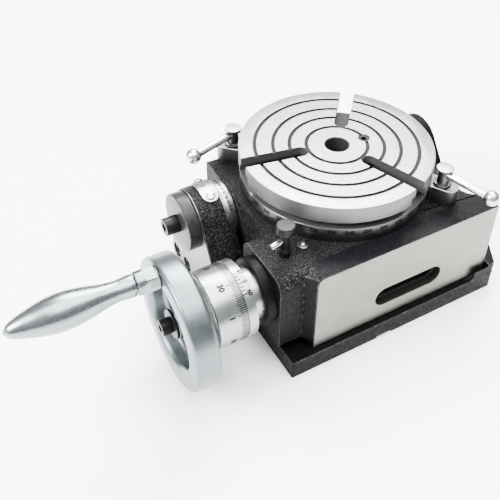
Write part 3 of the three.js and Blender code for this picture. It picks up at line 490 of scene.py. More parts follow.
def base_casting():
    """The base plate, with the right trunnion support, its pad and a lip along the front."""
    front, back = low("base_casting").y, high("base_casting").y
    left = low("base_casting").x
    corner = (73.7, -55.0)
    pad_left, pad_top = 69.3, BASE_H + 7.7
    plan = rounded([
        (left, front, 1.2), (corner[0], front, 1.5), (EAR_OUT, corner[1], 1.5), (EAR_OUT, back, 1.2),
        (left, back, 1.2),
    ])
    pad_plan = rounded([
        (pad_left, front + 0.05), (corner[0], front + 0.05, 1.5), (EAR_OUT - 0.05, corner[1], 1.5),
        (EAR_OUT - 0.05, back - 0.05), (pad_left, back - 0.05),
    ])
    lip_front = front + 0.05
    lip = prism(
        [(55.5, BASE_H - 1), (pad_left + 1, BASE_H - 1), (pad_left + 1, BASE_H + 6), (58.8, BASE_H + 6)]
        + arc(55.5, BASE_H + 3.2, 3.2, 0, -90, 6),
        lip_front, lip_front + 4, "Y")
    swing = math.hypot(FLANGE_FRONT - TILT_Y, FLANGE_LOW - TILT_Z) + 1  # clears the tilting flange
    lip = combine(lip, [rod(swing, 50, pad_left, "X", TILT_AXIS, 256)])
    plate = prism(plan, 0, BASE_H)
    pad = prism(pad_plan, BASE_H - 1, pad_top)
    support = prism(support_outline(PEDESTAL_FRONT, 2 * TILT_Y - PEDESTAL_FRONT, 46.7, BASE_H - 1),
                    EAR_RIGHT, EAR_OUT - 0.1, "X")
    bm = join(plate, pad, lip, support)
    keyway = prism([(-11, -1), (-1, -1), (-1, 1), (-1.8, 1.6), (-10.2, 1.6), (-11, 1)],
                   front - 1, back + 1, "Y")
    bore = rod(TRUNNION_BORE_R, EAR_RIGHT - 1, EAR_OUT + 1, "X", TILT_AXIS, 64)
    bm = combine(bm, [keyway, bore])
    # the broken edges get the paler paint, a painted highlight
    piece("base_looks", bm, [BASE_PAINT, EDGE_HIGHLIGHT_PAINT], "base", ["base_casting"], 0.4,
          edge_look=1)


def left_bracket():
    outer, shoulder = -EAR_OUT, 15.0
    body = prism(support_outline(FOOT_FRONT, FOOT_BACK, shoulder, 0), outer, EAR_LEFT, "X")
    web = prism(support_outline(FOOT_FRONT + WEB_RECESS, FOOT_BACK - WEB_RECESS, shoulder, 0,
                                EAR_R - WEB_RECESS), EAR_LEFT - 1, WEB_RIGHT, "X")
    bm = join(body, web)
    cuts = [
        block(-67.1, WEB_RIGHT + 1, FOOT_FRONT - 1, FOOT_BACK + 1, -1, BASE_H + 0.1),
        rod(TRUNNION_BORE_R, outer - 1, EAR_LEFT + 1, "X", TILT_AXIS, 64),
        rod(17.5, EAR_LEFT, WEB_RIGHT + 1, "X", TILT_AXIS, 96),
    ]
    for y in BRACKET_BOLT_Y:
        cuts.append(rod(4.6, outer - 1, outer + 6, "X", (y, BRACKET_BOLT_Z), 40))
        cuts.append(rod(SCREW_HOLE_R, outer - 1, -60, "X", (y, BRACKET_BOLT_Z), 32))
    bm = combine(bm, cuts)
    steel_face_and_highlight_x = outer + 0.7  # the outer face is machined steel; the 0.7 mm band of face steel round its sides is a painted highlight along the edge
    geometry = [*bm.verts, *bm.edges, *bm.faces]
    bmesh.ops.bisect_plane(bm, geom=geometry, plane_co=(steel_face_and_highlight_x, 0, 0), plane_no=(1, 0, 0))
    mark(bm, 1, lambda c, n: c.x < steel_face_and_highlight_x)
    piece("left_bracket_looks", bm, [BODY_PAINT, FACE_STEEL], "base", ["left_bracket"], 0.35,
          edge_look=0)


def socket_screw(x, y, z, head_r, head_h, shank_r, reach):
    """A socket cap screw whose head stands on x and faces -X, with a hex socket in it."""
    top, tip = x - head_h, x + reach
    profile = rounded([
        (0, top), (head_r, top, 0.5), (head_r, x, 0.15), (shank_r, x), (shank_r, tip), (0, tip),
    ], 3)
    hexagon = [(y + u, z + v) for u, v in arc(0, 0, head_r * 0.56, 30, 330, 5)]
    socket = prism(hexagon, top - 1, top + head_h * 0.55, "X")
    return combine(lathe(profile, "X", (y, z), 56), [socket])


def bracket_bolts():
    for i, y in enumerate(BRACKET_BOLT_Y):
        bm = socket_screw(-76.1, y, BRACKET_BOLT_Z, 4.2, 5.0, 2.5, 20)
        piece(f"bracket_bolt_looks_{i + 1}", bm, BLACK_OXIDE, "base", [f"bracket_bolt_{i + 1}"])


# ---------- engraving ----------
class Engraving:
    """Lines and figures laid just above a surface, gathered into one mesh."""

    def __init__(self, surface):
        self.bm = bmesh.new()
        self.surface = surface  # maps (along, across) in millimetres to a point

    def face(self, points):
        self.bm.faces.new([self.bm.verts.new(self.surface(*p)) for p in points])

    def line(self, along, start, end, width):
        w = width / 2
        self.face([(along - w, start), (along + w, start), (along + w, end), (along - w, end)])

    def text(self, words, along, across, size, quarter_turns=0):
        curve = bpy.data.curves.new("figure", "FONT")
        curve.body = words
        curve.size = size
        curve.align_x = "CENTER"
        curve.align_y = "CENTER"
        curve.offset = size * 0.055
        curve.resolution_u = 3
        obj = linked("figure", curve)
        graph = bpy.context.evaluated_depsgraph_get()
        flat = obj.evaluated_get(graph).to_mesh()
        spin = Matrix.Rotation(math.radians(90 * quarter_turns), 2)
        points = [spin @ v.co.xy for v in flat.vertices]
        corners = [self.bm.verts.new(self.surface(along + p.x, across + p.y)) for p in points]
        for face in flat.polygons:
            self.bm.faces.new([corners[k] for k in face.vertices])
        bpy.data.objects.remove(obj)

    def done(self, name, body, node):
        piece(name, self.bm, INK, body, [node])


def on_cylinder_x(y, z, r):
    """Surface of a cylinder along X: the first coordinate runs round it, the second along +X."""
    lift = r + 0.05

    def at(along, across):
        a = along / r
        return (across, y + lift * math.cos(a), z + lift * math.sin(a))

    return at


def on_cylinder_z(r):
    """Surface of a cylinder along Z: the first coordinate runs round it, the second upward."""
    lift = r + 0.05

    def at(along, across):
        return (lift * math.cos(along / r), lift * math.sin(along / r), across)

    return at


def wrapped_strip(columns, middle_x, inner, outer):
    """A strip wrapped round the tilt axis, given as (angle, half width) columns along it."""
    rings = []
    for angle, half in columns:
        a = math.radians(angle)
        corners = [(-half, inner), (half, inner), (half, outer), (-half, outer)]
        rings.append([(middle_x + u, TILT_Y + r * math.cos(a), TILT_Z + r * math.sin(a)) for u, r in corners])
    return tube(rings)


PLATE_FROM, PLATE_TO = 48.0, 122.0
PLATE_SCREWS = {"rear": 59.0, "front": 111.0}
PLATE_X = (-75.9, -66.3)


def tilt_vernier():
    """The plate follows the crown of the left ear, with round ends and slotted screws."""
    middle_x = sum(PLATE_X) / 2
    half = (PLATE_X[1] - PLATE_X[0]) / 2
    inner, outer = EAR_R + 0.1, EAR_R + 1.1
    end_turn = math.degrees(half / inner)
    straight = PLATE_TO - PLATE_FROM - 2 * end_turn
    round_end = [(end_turn * (1 - math.cos(math.radians(a))), max(0.2, half * math.sin(math.radians(a))))
                 for a in range(3, 91, 10)]
    columns = [(PLATE_FROM + t, w) for t, w in round_end]
    columns += [(PLATE_FROM + end_turn + straight * k / 20, half) for k in range(1, 20)]
    columns += [(PLATE_TO - t, w) for t, w in reversed(round_end)]
    bm = wrapped_strip(columns, middle_x, inner, outer)
    piece("tilt_vernier_looks", bm, PLATE_METAL, "base", ["tilt_vernier_plate"], 0.15)

    marks = Engraving(on_cylinder_x(*TILT_AXIS, outer))
    centre = math.radians((PLATE_FROM + PLATE_TO) / 2) * outer
    for k in range(-6, 7):
        long = k % 3 == 0
        marks.line(centre + k * 1.25, PLATE_X[1] - (3.0 if long else 2.0), PLATE_X[1] - 0.3, 0.22)
    for words, offset in (("15", -7.2), ("0", 0), ("15", 7.2)):
        marks.text(words, centre - offset, PLATE_X[1] - 5.2, 2.7, 2)
    marks.done("tilt_vernier_marks", "base", "tilt_vernier_plate")

    for end, angle in PLATE_SCREWS.items():
        head = lathe([(0, 0), (2.5, 0), (2.5, 0.5), (2.2, 0.95), (1.4, 1.3), (0, 1.45)], "Z", (0, 0), 40)
        head = combine(head, [block(-3, 3, -0.3, 0.3, 0.75, 2)])
        moved(head, turn(35, "Z"))
        moved(head, shift(0, 0, outer + 0.1))
        moved(head, turn(angle - 90, "X"))
        moved(head, shift(middle_x, TILT_Y, TILT_Z))
        piece(f"vernier_screw_looks_{end}", head, CHROME, "base", [f"vernier_screw_{end}"])


# ---------- cradle ----------
FLANGE_FRONT = -65.7
FLANGE_BACK = -52.5
FLANGE_LEFT, FLANGE_RIGHT = -52.0, 68.0
FLANGE_LOW = 13.0
FLANGE_TOP = CRADLE_TOP + 0.12  # stands just proud, still clear of the table's rim
BODY_X = 58.0
BODY_LOW = 17.0
WHEEL_ROOM_R, COVER_SEAT_R, BUSH_SEAT_R = 33.6, 35.9, 21.0  # hollows on the table's axis
SLEEVE_R = 13.0
HOUSING_LOW = 17.5
HOUSING_FRONT = -59.5
SEAM_X, SEAM_Y = -56.4, -59.0  # corner between the worm housing and the flange
SLOT_LEFT, SLOT_RIGHT, SLOT_Z, SLOT_WIDTH = -13.0, 32.0, 29.5, 12.4  # the long slot in the flange
SLOT_STEPS = ((0.0, -1.0, 5.0), (1.2, 4.0, 9.0), (2.4, 8.0, 12.9))  # (narrowing, start, end)
ECCENTRIC_Y, ECCENTRIC_Z = polar(1.5, 45)  # how far the worm's axis stands from the sleeve's
SLEEVE_Y, SLEEVE_Z = WORM_Y - ECCENTRIC_Y, WORM_Z - ECCENTRIC_Z
STUD_REACH = 61.0  # from the table's axis
LEFT_STUD, RIGHT_STUD = polar(STUD_REACH, 134), polar(STUD_REACH, -46)
LOCK_AT = (-57.0, -41.0)
OILER_AT = (-45.4, -40.0)


def cradle_housing():
    """The tilting body: side walls, machined flange, worm housing and two trunnions."""
    side = prism(
        rounded([(-54, BODY_LOW), (38, BODY_LOW, 1.5), (49, 28, 1.5), (49, CRADLE_TOP, 2.5),
                 (-54, CRADLE_TOP)]),
        -BODY_X, BODY_X, "X")
    chamfer = 1.6
    flange = prism(
        rounded([(FLANGE_LEFT, FLANGE_LOW, 0.6), (FLANGE_RIGHT - chamfer, FLANGE_LOW),
                 (FLANGE_RIGHT, FLANGE_LOW + chamfer), (FLANGE_RIGHT, FLANGE_TOP, 0.6),
                 (FLANGE_LEFT, FLANGE_TOP, 4.5)], 8),
        FLANGE_FRONT, FLANGE_BACK, "Y")
    housing = prism(
        rounded([(HOUSING_FRONT, HOUSING_LOW, 1.5), (-20, HOUSING_LOW), (-20, CRADLE_TOP, 8),
                 (HOUSING_FRONT, CRADLE_TOP, 8)], 10),
        -70, -45, "X")
    corner_fill = prism(
        [(FLANGE_LEFT + 1, -58), (SEAM_X, HOUSING_FRONT + 0.2), (FLANGE_LEFT, FLANGE_FRONT + 0.5),
         (FLANGE_LEFT + 1, FLANGE_FRONT + 0.5)], HOUSING_LOW, CRADLE_TOP)
    reach = FLANGE_RIGHT - BODY_X
    web = prism([(BODY_X - 1, FLANGE_BACK - 1), (FLANGE_RIGHT, FLANGE_BACK - 1)]
                + arc(FLANGE_RIGHT, FLANGE_BACK + reach, reach, -90, -180, 12)
                + [(BODY_X - 1, FLANGE_BACK + reach)], BODY_LOW, CRADLE_TOP)
    bosses = []
    for root, shoulder, end in ((-57, EAR_LEFT + 0.5, -81.5), (57, EAR_RIGHT - 0.5, 81.5)):
        profile = [(0, root), (16, root), (16, shoulder), (10, shoulder), (10, end), (0, end)]
        bosses.append(lathe(profile, "X", TILT_AXIS, 96))
    bm = join(side, flange, housing, web, corner_fill, *bosses)
    cuts = []
    for narrowing, start, end in SLOT_STEPS:
        left, right = SLOT_LEFT + narrowing, SLOT_RIGHT - narrowing
        outline = slot_outline(left, right, SLOT_Z, SLOT_WIDTH - 2 * narrowing)
        cuts.append(prism(outline, FLANGE_FRONT + start, FLANGE_FRONT + end, "Y"))
    cuts += [
        rod(WHEEL_ROOM_R, BODY_LOW - 1, 51.5, "Z", (0, 0), 96),
        rod(COVER_SEAT_R, BODY_LOW - 1, 20.1, "Z", (0, 0), 96),
        rod(BUSH_SEAT_R, 50, CRADLE_TOP + 1, "Z", (0, 0), 96),
        rod(SLEEVE_R + 0.08, -72, 36.5, "X", (SLEEVE_Y, SLEEVE_Z), 96),
        rod(SCREW_HOLE_R, 56, CRADLE_TOP + 1, "Z", LOCK_AT, 32),
        rod(2.1, 61, CRADLE_TOP + 1, "Z", OILER_AT, 32),
        rod(SCREW_HOLE_R, 52, CRADLE_TOP + 1, "Z", LEFT_STUD, 32),
        rod(SCREW_HOLE_R, 52, CRADLE_TOP + 1, "Z", RIGHT_STUD, 32),
        rod(3.1, -83, -61, "X", TILT_AXIS, 32),
    ]
    bm = combine(bm, cuts)
    behind = FLANGE_FRONT + 0.1
    half = SLOT_WIDTH / 2 + 0.3

    def in_slot(c, n):
        across = SLOT_LEFT - 0.1 < c.x < SLOT_RIGHT + 0.1
        return across and behind < c.y < FLANGE_BACK - 0.2 and SLOT_Z - half < c.z < SLOT_Z + half

    mark(bm, 1, lambda c, n: n.y < -0.9 and c.y < behind)
    mark(bm, 4, lambda c, n: abs(n.z) < 0.3 and behind < c.y < -40)
    mark(bm, 4, lambda c, n: n.z > 0.9 and c.y < FLANGE_BACK and c.z > CRADLE_TOP + 0.05)
    # the flange slot's inside is painted shade
    mark(bm, 2, in_slot)
    looks = [BODY_PAINT, FACE_STEEL, HOLE_SHADE_PAINT, EDGE_HIGHLIGHT_PAINT, SMOOTH_PAINT]
    # broken edges get the paler paint at index 3, a painted highlight
    piece("cradle_housing_looks", bm, looks, "cradle", ["cradle_housing"], 0.3, edge_look=3)


SEAM_LOW, SEAM_HEIGHT = 18.5, 38.0
SEAM_RINGS, SEAM_SIDES = 34, 10


def casting_seam():
    """A lumpy foundry seam down the corner between the worm housing and the flange."""
    rng = random.Random(7)
    rings = []
    angles = [2 * math.pi * j / SEAM_SIDES for j in range(SEAM_SIDES)]
    for k in range(SEAM_RINGS):
        z = SEAM_LOW + SEAM_HEIGHT * k / (SEAM_RINGS - 1)
        r = 1.3 + 0.5 * math.sin(k * 1.3) + rng.uniform(-0.3, 0.5)
        x = SEAM_X + rng.uniform(-0.4, 0.4)
        rings.append([(x + r * math.cos(a), SEAM_Y + 0.75 * r * math.sin(a), z) for a in angles])
    piece("casting_seam", tube(rings), SEAM_PAINT, "cradle", ["cradle_housing"], sharp=80)


def tilt_clamp():
    """The big washer and socket screw that pinch the left trunnion in its ear."""
    near, far = -EAR_OUT - GAP, -EAR_OUT - 7.1
    profile = rounded([(3.1, near), (17, near, 0.3), (17, far, 0.7), (3.1, far)], 3)
    bm = lathe(profile, "X", TILT_AXIS)
    piece("tilt_washer_looks", bm, WASHER_BLACK, "cradle", ["tilt_washer"])
    bm = socket_screw(far - GAP, *TILT_AXIS, 5.2, 8, 3, 27)
    piece("tilt_clamp_screw_looks", bm, BLACK_OXIDE, "cradle", ["tilt_clamp_screw"])


def tilt_scale():
    left, right = low("tilt_scale_band").x, high("tilt_scale_band").x
    r = (high("tilt_scale_band").z - low("tilt_scale_band").z) / 2
    profile = rounded([(16.1, left), (r, left, 0.2), (r, right, 0.2), (16.1, right)], 2)
    bm = lathe(profile, "X", TILT_AXIS)
    piece("tilt_scale_looks", bm, PLATE_METAL, "cradle", ["tilt_scale_band"])
    marks = Engraving(on_cylinder_x(*TILT_AXIS, r))
    for degree in range(-20, 111):
        along = math.radians(degree + 40) * r
        long = degree % 10 == 0
        marks.line(along, left + 0.2, left + (2.2 if long else 1.4), 0.14)
        if long:
            marks.text(str(abs(degree)), along, left + 3.8, 2.2, 2)
    marks.done("tilt_scale_marks", "cradle", "tilt_scale_band")


BLOCK_STEP = 73.2  # the underside that reaches over the table's lip
BLOCK_OVER = 78.0  # above both clamp blocks
BLOCK_BACK, BLOCK_NOSE = -11.0, 9.4
BLOCK_WIDTH = 11.6


def clamp_block(name, stud, turn_to):
    half = BLOCK_WIDTH / 2
    nose = half * 0.98
    outline = rounded([(BLOCK_BACK, -half, 0.6), (BLOCK_NOSE, -half, nose), (BLOCK_NOSE, half, nose),
                       (BLOCK_BACK, half, 0.6)], 10)
    bm = prism(outline, CRADLE_TOP + GAP, high("clamp_block_left").z)
    moved(bm, turn(turn_to, "Z"))
    moved(bm, shift(stud[0], stud[1], 0))
    bm = combine(bm, [
        rod(LIP_R + 1, CRADLE_TOP - 1, BLOCK_STEP, "Z", (0, 0), 192),
        rod(NECK_R + 0.8, CRADLE_TOP - 1, BLOCK_OVER, "Z", (0, 0), 192),
        rod(SCREW_HOLE_R, CRADLE_TOP - 1, BLOCK_OVER, "Z", stud, 32),
    ])
    piece(f"clamp_block_looks_{name}", bm, [BLOCK_STEEL, PLATE_METAL], "cradle", [f"clamp_block_{name}"],
          0.4, edge_look=1)


LEVER_Z = 81.7
LEVER_R = 2.3
LEVER_TAIL = 4.2
LEVER_REACH = 29.0
LEVER_DROP = 2.3
BALL_R = 4.4


def clamp(name, stud, direction):
    """A clamp stud with a thin head, the lever pushed through its waist, and the lever's ball."""
    seat, top = high("clamp_block_left").z + GAP, high("clamp_stud_left").z
    under = top - 1.2
    profile = rounded([
        (0, 52.5), (2.6, 52.5), (2.6, seat), (5.0, seat, 0.3), (5.0, seat + 1.2, 0.3), (3.3, seat + 1.3, 0.3),
        (3.3, under - 0.9, 0.4), (4.8, under, 0.2), (4.8, top, 0.4), (0, top),
    ], 4)
    slope = math.degrees(math.atan2(LEVER_DROP, LEVER_REACH))
    length = math.hypot(LEVER_REACH, LEVER_DROP)

    def along(bm):
        moved(bm, turn(slope, "Y"))
        moved(bm, shift(0, 0, LEVER_Z))
        moved(bm, turn(direction, "Z"))
        return moved(bm, shift(stud[0], stud[1], 0))

    def show(part, bm, looks):
        piece(f"clamp_{part}_looks_{name}", bm, looks, f"clamp_{name}", [f"clamp_{part}_{name}"])

    bm = combine(lathe(profile, "Z", stud, 72), [along(rod(LEVER_R + 0.1, -7, 7, facets=32))])
    mark(bm, 1, lambda c, n: n.z > 0.6 and c.z > under)
    show("stud", bm, [STUD_STEEL, PLATE_METAL])

    start = math.degrees(math.asin((LEVER_R + 0.05) / BALL_R))
    neck = length - BALL_R * math.cos(math.radians(start))
    lever = rounded([(0, -LEVER_TAIL), (LEVER_R, -LEVER_TAIL, 0.5), (LEVER_R, neck), (0, neck)], 3)
    show("lever", along(lathe(lever, "X", (0, 0), 48)), CHROME)
    angles = [math.radians(start + (180 - start) * k / 28) for k in range(28)]
    globe = [(BALL_R * math.sin(a), length - BALL_R * math.cos(a)) for a in angles]
    globe = [(0, neck), *globe, (0, length + BALL_R)]
    show("ball", along(lathe(globe, "X", (0, 0), 56)), CHROME)


def sleeve_lock():
    x, y = LOCK_AT
    top = 84.4
    seat, shank, pin_z = CRADLE_TOP + GAP, 2.6, 74.6
    profile = rounded([
        (0, 57.2), (shank, 57.2), (shank, seat), (3.2, seat, 0.3), (3.2, 68, 0.6), (shank, 69, 0.3),
        (shank, top - 6, 0.5), (4.8, top - 4.9, 0.3), (4.9, top, 0.6), (0, top),
    ], 4)
    turned = shift(x, y, pin_z) @ turn(12, "Z")
    bm = combine(lathe(profile, "Z", LOCK_AT, 72), [moved(rod(1.15, -5, 5, facets=24), turned)])
    piece("sleeve_lock_looks", bm, BLACK_OXIDE, "sleeve_lock", ["sleeve_lock_screw"])
    pin = rounded([(0, -9.6), (1.7, -9.6, 0.4), (1.7, -3.6, 0.3), (1.0, -3.4), (1.0, 4.4, 0.3), (0, 4.4)], 3)
    piece("lock_pin_looks", moved(lathe(pin, "X", (0, 0), 40), turned), CHROME, "sleeve_lock",
          ["lock_screw_pin"])


def ball_oiler():
    z = CRADLE_TOP + GAP
    ring = rounded([
        (0, z - 2.6), (2, z - 2.6), (2, z), (3.2, z, 0.2), (3.2, z + 0.7, 0.3), (1.8, z + 1.2, 0.2),
        (1.5, z + 0.6), (0, z + 0.6),
    ], 3)
    angles = [math.radians(a) for a in range(40, 180, 10)]
    ball = [(1.35 * math.sin(a), z + 0.75 - math.cos(a)) for a in angles]
    ball = [(0, ball[0][1]), *ball, (0, z + 1.75)]
    bm = together(lathe(ring, "Z", OILER_AT, 48), lathe(ball, "Z", OILER_AT, 32))
    # the cup round the ball is painted shade
    mark(bm, 1, lambda c, n: (c.xy - Vector(OILER_AT)).length < 2.0 and z < c.z < z + 1.15 and n.z < 0.9)
    mark(bm, 2, lambda c, n: (c.xy - Vector(OILER_AT)).length < 1.3 and c.z > z + 0.8)
    piece("ball_oiler_looks", bm, [STUD_STEEL, HOLE_SHADE_PAINT, CHROME], "cradle", ["ball_oiler"])


# ---------- table ----------
def rotary_table():
    """The T-slotted table with its grooves, degree marks and screw plug."""
    top = TABLE_TOP
    mouth_low, foot_high, foot_low = top - 6, top - 5, top - 11.5
    hub_r, hub_low, lip_low = 17, 31, CRADLE_TOP + 0.2
    profile = [(BORE_R, hub_low, 0.3), (BORE_R, top - 0.6), (BORE_R + 0.6, top)]
    for r in GROOVES:
        profile += [(r - GROOVE_W / 2, top), (r - GROOVE_W / 2, top - GROOVE_D),
                    (r + GROOVE_W / 2, top - GROOVE_D), (r + GROOVE_W / 2, top)]
    profile += [
        (TABLE_R, top, 0.5), (TABLE_R, RIM_LOW, 0.4), (NECK_R, RIM_LOW, 0.5), (NECK_R, LIP_TOP, 0.8),
        (LIP_R, LIP_TOP, 0.4), (LIP_R, lip_low, 0.3), (hub_r, lip_low), (hub_r, hub_low, 0.3),
    ]
    bm = lathe(rounded(profile, 3), "Z", (0, 0), 216)
    cuts = []
    for azimuth in SLOT_TURNS:
        mouth = prism(slot_outline(SLOT_INNER, TABLE_R + 15, 0, SLOT_MOUTH), mouth_low, top + 1)
        foot_in = SLOT_INNER - (SLOT_FOOT - SLOT_MOUTH) / 2
        foot = prism(slot_outline(foot_in, TABLE_R + 15, 0, SLOT_FOOT), foot_low, foot_high)
        cuts += [moved(mouth, turn(azimuth, "Z")), moved(foot, turn(azimuth, "Z"))]
    plug = middle("table_plug")
    cuts.append(rod(3.5, top - 6, top + 1, "Z", (plug.x, plug.y), 40))
    bm = combine(bm, cuts)

    def in_slot(c):
        for azimuth in SLOT_TURNS:
            p = turn(-azimuth, "Z") @ c
            if SLOT_INNER - 3.5 < p.x < TABLE_R + 0.5 and abs(p.y) < SLOT_FOOT / 2 + 0.1:
                inside = abs(p.y) < SLOT_MOUTH / 2 + 0.05 or c.z < foot_high + 0.1
                return inside and c.z < top - 0.02 and c.xy.length < TABLE_R - 0.05
        return False

    mark(bm, 1, lambda c, n: abs(n.z) < 0.9 and c.xy.length > NECK_R + 0.3 and not in_slot(c))
    # painted shade inside the T-slots and on the neck under the rim's overhang
    mark(bm, 2, lambda c, n: in_slot(c) or (LIP_TOP - 0.1 < c.z < RIM_LOW + 0.1 and c.xy.length < NECK_R + 1))
    # grooves: dirt and painted shade; the bore: painted shade
    mark(bm, 3, lambda c, n: top - GROOVE_D - 0.05 < c.z < top - 0.05 and c.xy.length < 48 and not in_slot(c))
    mark(bm, 3, lambda c, n: c.xy.length < BORE_R + 0.2 and c.z < top - 1.2)
    mark(bm, 4, lambda c, n: abs(n.z) < 0.9 and c.z < LIP_TOP and c.xy.length > NECK_R + 0.3)
    piece("rotary_table_looks", bm, [TABLE_STEEL, RIM_STEEL, SLOT_SHADE_PAINT, GROOVE_DIRT_AND_SHADE, RING_STEEL], "table",
          ["rotary_table", "wheel_key"], sharp=25)

    marks = Engraving(on_cylinder_z(LIP_R))
    floor = CRADLE_TOP + 0.5
    for degree in range(360):
        azimuth = math.radians(SLOT_TURNS[0] - 45 + degree)
        height = 3.4 if degree % 10 == 0 else 2.6 if degree % 5 == 0 else 1.9
        marks.line(azimuth * LIP_R, floor, floor + height, 0.28)
        if degree % 10 == 0:
            marks.text(str(degree), azimuth * LIP_R, floor + 5.9, 3.2)
    marks.done("table_degree_marks", "table", "rotary_table")

    z = top - 0.4
    profile = rounded([
        (0, z - 4.5), (3.4, z - 4.5), (3.4, z, 0.4), (1.6, z, 0.2), (1.6, z - 2), (0, z - 2),
    ], 3)
    bm = lathe(profile, "Z", (plug.x, plug.y), 40)
    piece("table_plug_looks", bm, BLACK_OXIDE, "table", ["table_plug"])


# ---------- worm drive ----------
def sleeve():
    """The eccentric sleeve round the worm, its notched nose and its vernier ring."""
    face = -70.1
    barrel = rod(SLEEVE_R, -71, 36, "X", (SLEEVE_Y, SLEEVE_Z), 96)
    flange = lathe(rounded([(0, face), (18.5, face, 0.3), (18.5, face - 5.5, 0.9), (0, face - 5.5)], 4),
                   "X", WORM_AXIS)
    bm = join(barrel, flange)
    window = prism([(SLEEVE_Y, SLEEVE_Z)] + arc(SLEEVE_Y, SLEEVE_Z, 26, 235, 485, 24), -19, 19, "X")
    bore_r = 8.6
    bm = combine(bm, [
        rod(bore_r, -89, 19, "X", WORM_AXIS, 64),
        rod(5.08, 18, 37, "X", WORM_AXIS, 48),  # for the worm's far journal
        window,
    ])
    piece("sleeve_looks", bm, BASE_PAINT, "sleeve", ["eccentric_sleeve"], 0.2)

    step, tip = -81.6, -86.7
    profile = rounded([
        (bore_r, face - 5.4), (14.4, face - 5.4), (14.4, step, 0.4), (12, step), (12, tip, 0.3),
        (bore_r, tip),
    ], 3)
    nose = lathe(profile, "X", WORM_AXIS)
    hook = block(step + 1.0, face - 6.0, -4.2, 4.2, -17, -11.6)
    moved(hook, turn(-35, "X"))
    moved(hook, shift(0, WORM_Y, WORM_Z))
    nose = combine(nose, [hook])
    piece("sleeve_nose_looks", nose, DIAL_CHROME, "sleeve", ["eccentric_sleeve"])

    left, right = low("vernier_ring").x, high("vernier_ring").x
    ring = lathe(rounded([(12.1, right), (DRUM_R, right, 0.4), (DRUM_R, left, 0.2), (12.1, left)], 3),
                 "X", WORM_AXIS, 192)
    piece("vernier_ring_looks", ring, DIAL_CHROME, "sleeve", ["vernier_ring"])
    marks = Engraving(on_cylinder_x(*WORM_AXIS, DRUM_R))
    zero = math.radians(113.0) * DRUM_R
    pitch = math.radians(5.5) * DRUM_R
    for k in range(-3, 4):
        long = k in (-3, 0, 3)
        marks.line(zero + k * pitch, left + 0.1, left + (2.6 if long else 2.2), 0.62)
    for words, k in (("60", -3), ("0", 0), ("60", 3)):
        marks.text(words, zero + k * pitch, left + 3.7, 3.0)
    marks.done("vernier_ring_marks", "sleeve", "vernier_ring")


def knurled_band(left, right, r):
    """Diamond knurling: pyramids pressed out of a band round the worm's axis."""
    around, across = 220, 8
    bm = bmesh.new()
    grid = []
    for i in range(across + 1):
        x = left + (right - left) * i / across
        row = []
        for k in range(around):
            raised = (i + k) % 2 == 0 and 0 < i < across
            height = r if raised else r - 0.32
            a = 2 * math.pi * k / around
            row.append(bm.verts.new((x, WORM_Y + height * math.cos(a), WORM_Z + height * math.sin(a))))
        grid.append(row)
    for i in range(across):
        for k in range(around):
            n = (k + 1) % around
            a, b, c, d = grid[i][k], grid[i][n], grid[i + 1][n], grid[i + 1][k]
            split = ((a, b, c), (a, c, d)) if (i + k) % 2 == 0 else ((a, b, d), (b, c, d))
            for corners in split:
                bm.faces.new(corners)
    return bm


def dial():
    """The dial drum with its knurled band and marks."""
    left, right = DRUM_LEFT + 0.1, DRUM_RIGHT
    knurl_right = DRUM_LEFT + 4.6
    band_end = knurl_right + 0.3
    r = DRUM_R
    profile = rounded([
        (SHAFT_HOLE_R, right), (r, right, 0.25), (r, knurl_right + 0.5, 0.2), (r - 0.9, band_end, 0.1),
        (r - 0.9, left), (SHAFT_HOLE_R, left),
    ], 3)
    bm = together(lathe(profile, "X", WORM_AXIS, 192), knurled_band(left, band_end, 20.25))
    bmesh.ops.recalc_face_normals(bm, faces=bm.faces)
    mark(bm, 1, lambda c, n: c.x < band_end and math.hypot(c.y - WORM_Y, c.z - WORM_Z) < r - 0.3)
    piece("dial_looks", bm, [DIAL_CHROME, KNURL_STEEL], "dial", ["dial_drum"], sharp=18)

    marks = Engraving(on_cylinder_x(*WORM_AXIS, r))
    for k in range(120):
        angle = 109.5 + 3 * k
        height = 5.4 if k % 15 == 0 else 4.7 if k % 5 == 0 else 3.8
        marks.line(math.radians(angle) * r, right - height, right - 0.05, 0.5)
    for k, words in enumerate(("30", "0", "30", "1", "30", "2", "30", "3")):
        marks.text(words, math.radians(19.5 + 45 * k) * r, right - 8.6, 4.2)
    marks.done("dial_marks", "dial", "dial_drum")


def handwheel():
    right, left = WHEEL_RIGHT, WHEEL_LEFT
    web = right - 4
    hub_end = -119.0
    profile = rounded([
        (SHAFT_HOLE_R, right), (WHEEL_R, right, 2.4), (WHEEL_R, left, 2.4), (26.1, left, 0.5),
        (25.5, left + 0.6, 0.3), (24.8, left + 0.6, 0.3), (23.6, left + 2.2, 1), (23.0, web, 2.2),
        (8.9, web, 1.6), (8.3, hub_end, 0.4), (SHAFT_HOLE_R, hub_end),
    ], 5)
    bm = lathe(profile, "X", WORM_AXIS, 192)
    piece("handwheel_looks", bm, WHEEL_ALUMINIUM, "worm", ["handwheel", "handwheel_key"],
          sharp=40)
    near, far = hub_end - GAP, hub_end - 1.4
    washer = lathe(rounded([(2.6, near), (8, near, 0.2), (8, far, 0.3), (2.6, far)], 3), "X", WORM_AXIS, 96)
    piece("hub_washer_looks", washer, BLACK_OXIDE, "worm", ["hub_washer"])
    screw = socket_screw(far - GAP, *WORM_AXIS, 4.25, 5.6, 2.5, 12)
    piece("hub_screw_looks", screw, BLACK_OXIDE, "worm", ["hub_screw"])


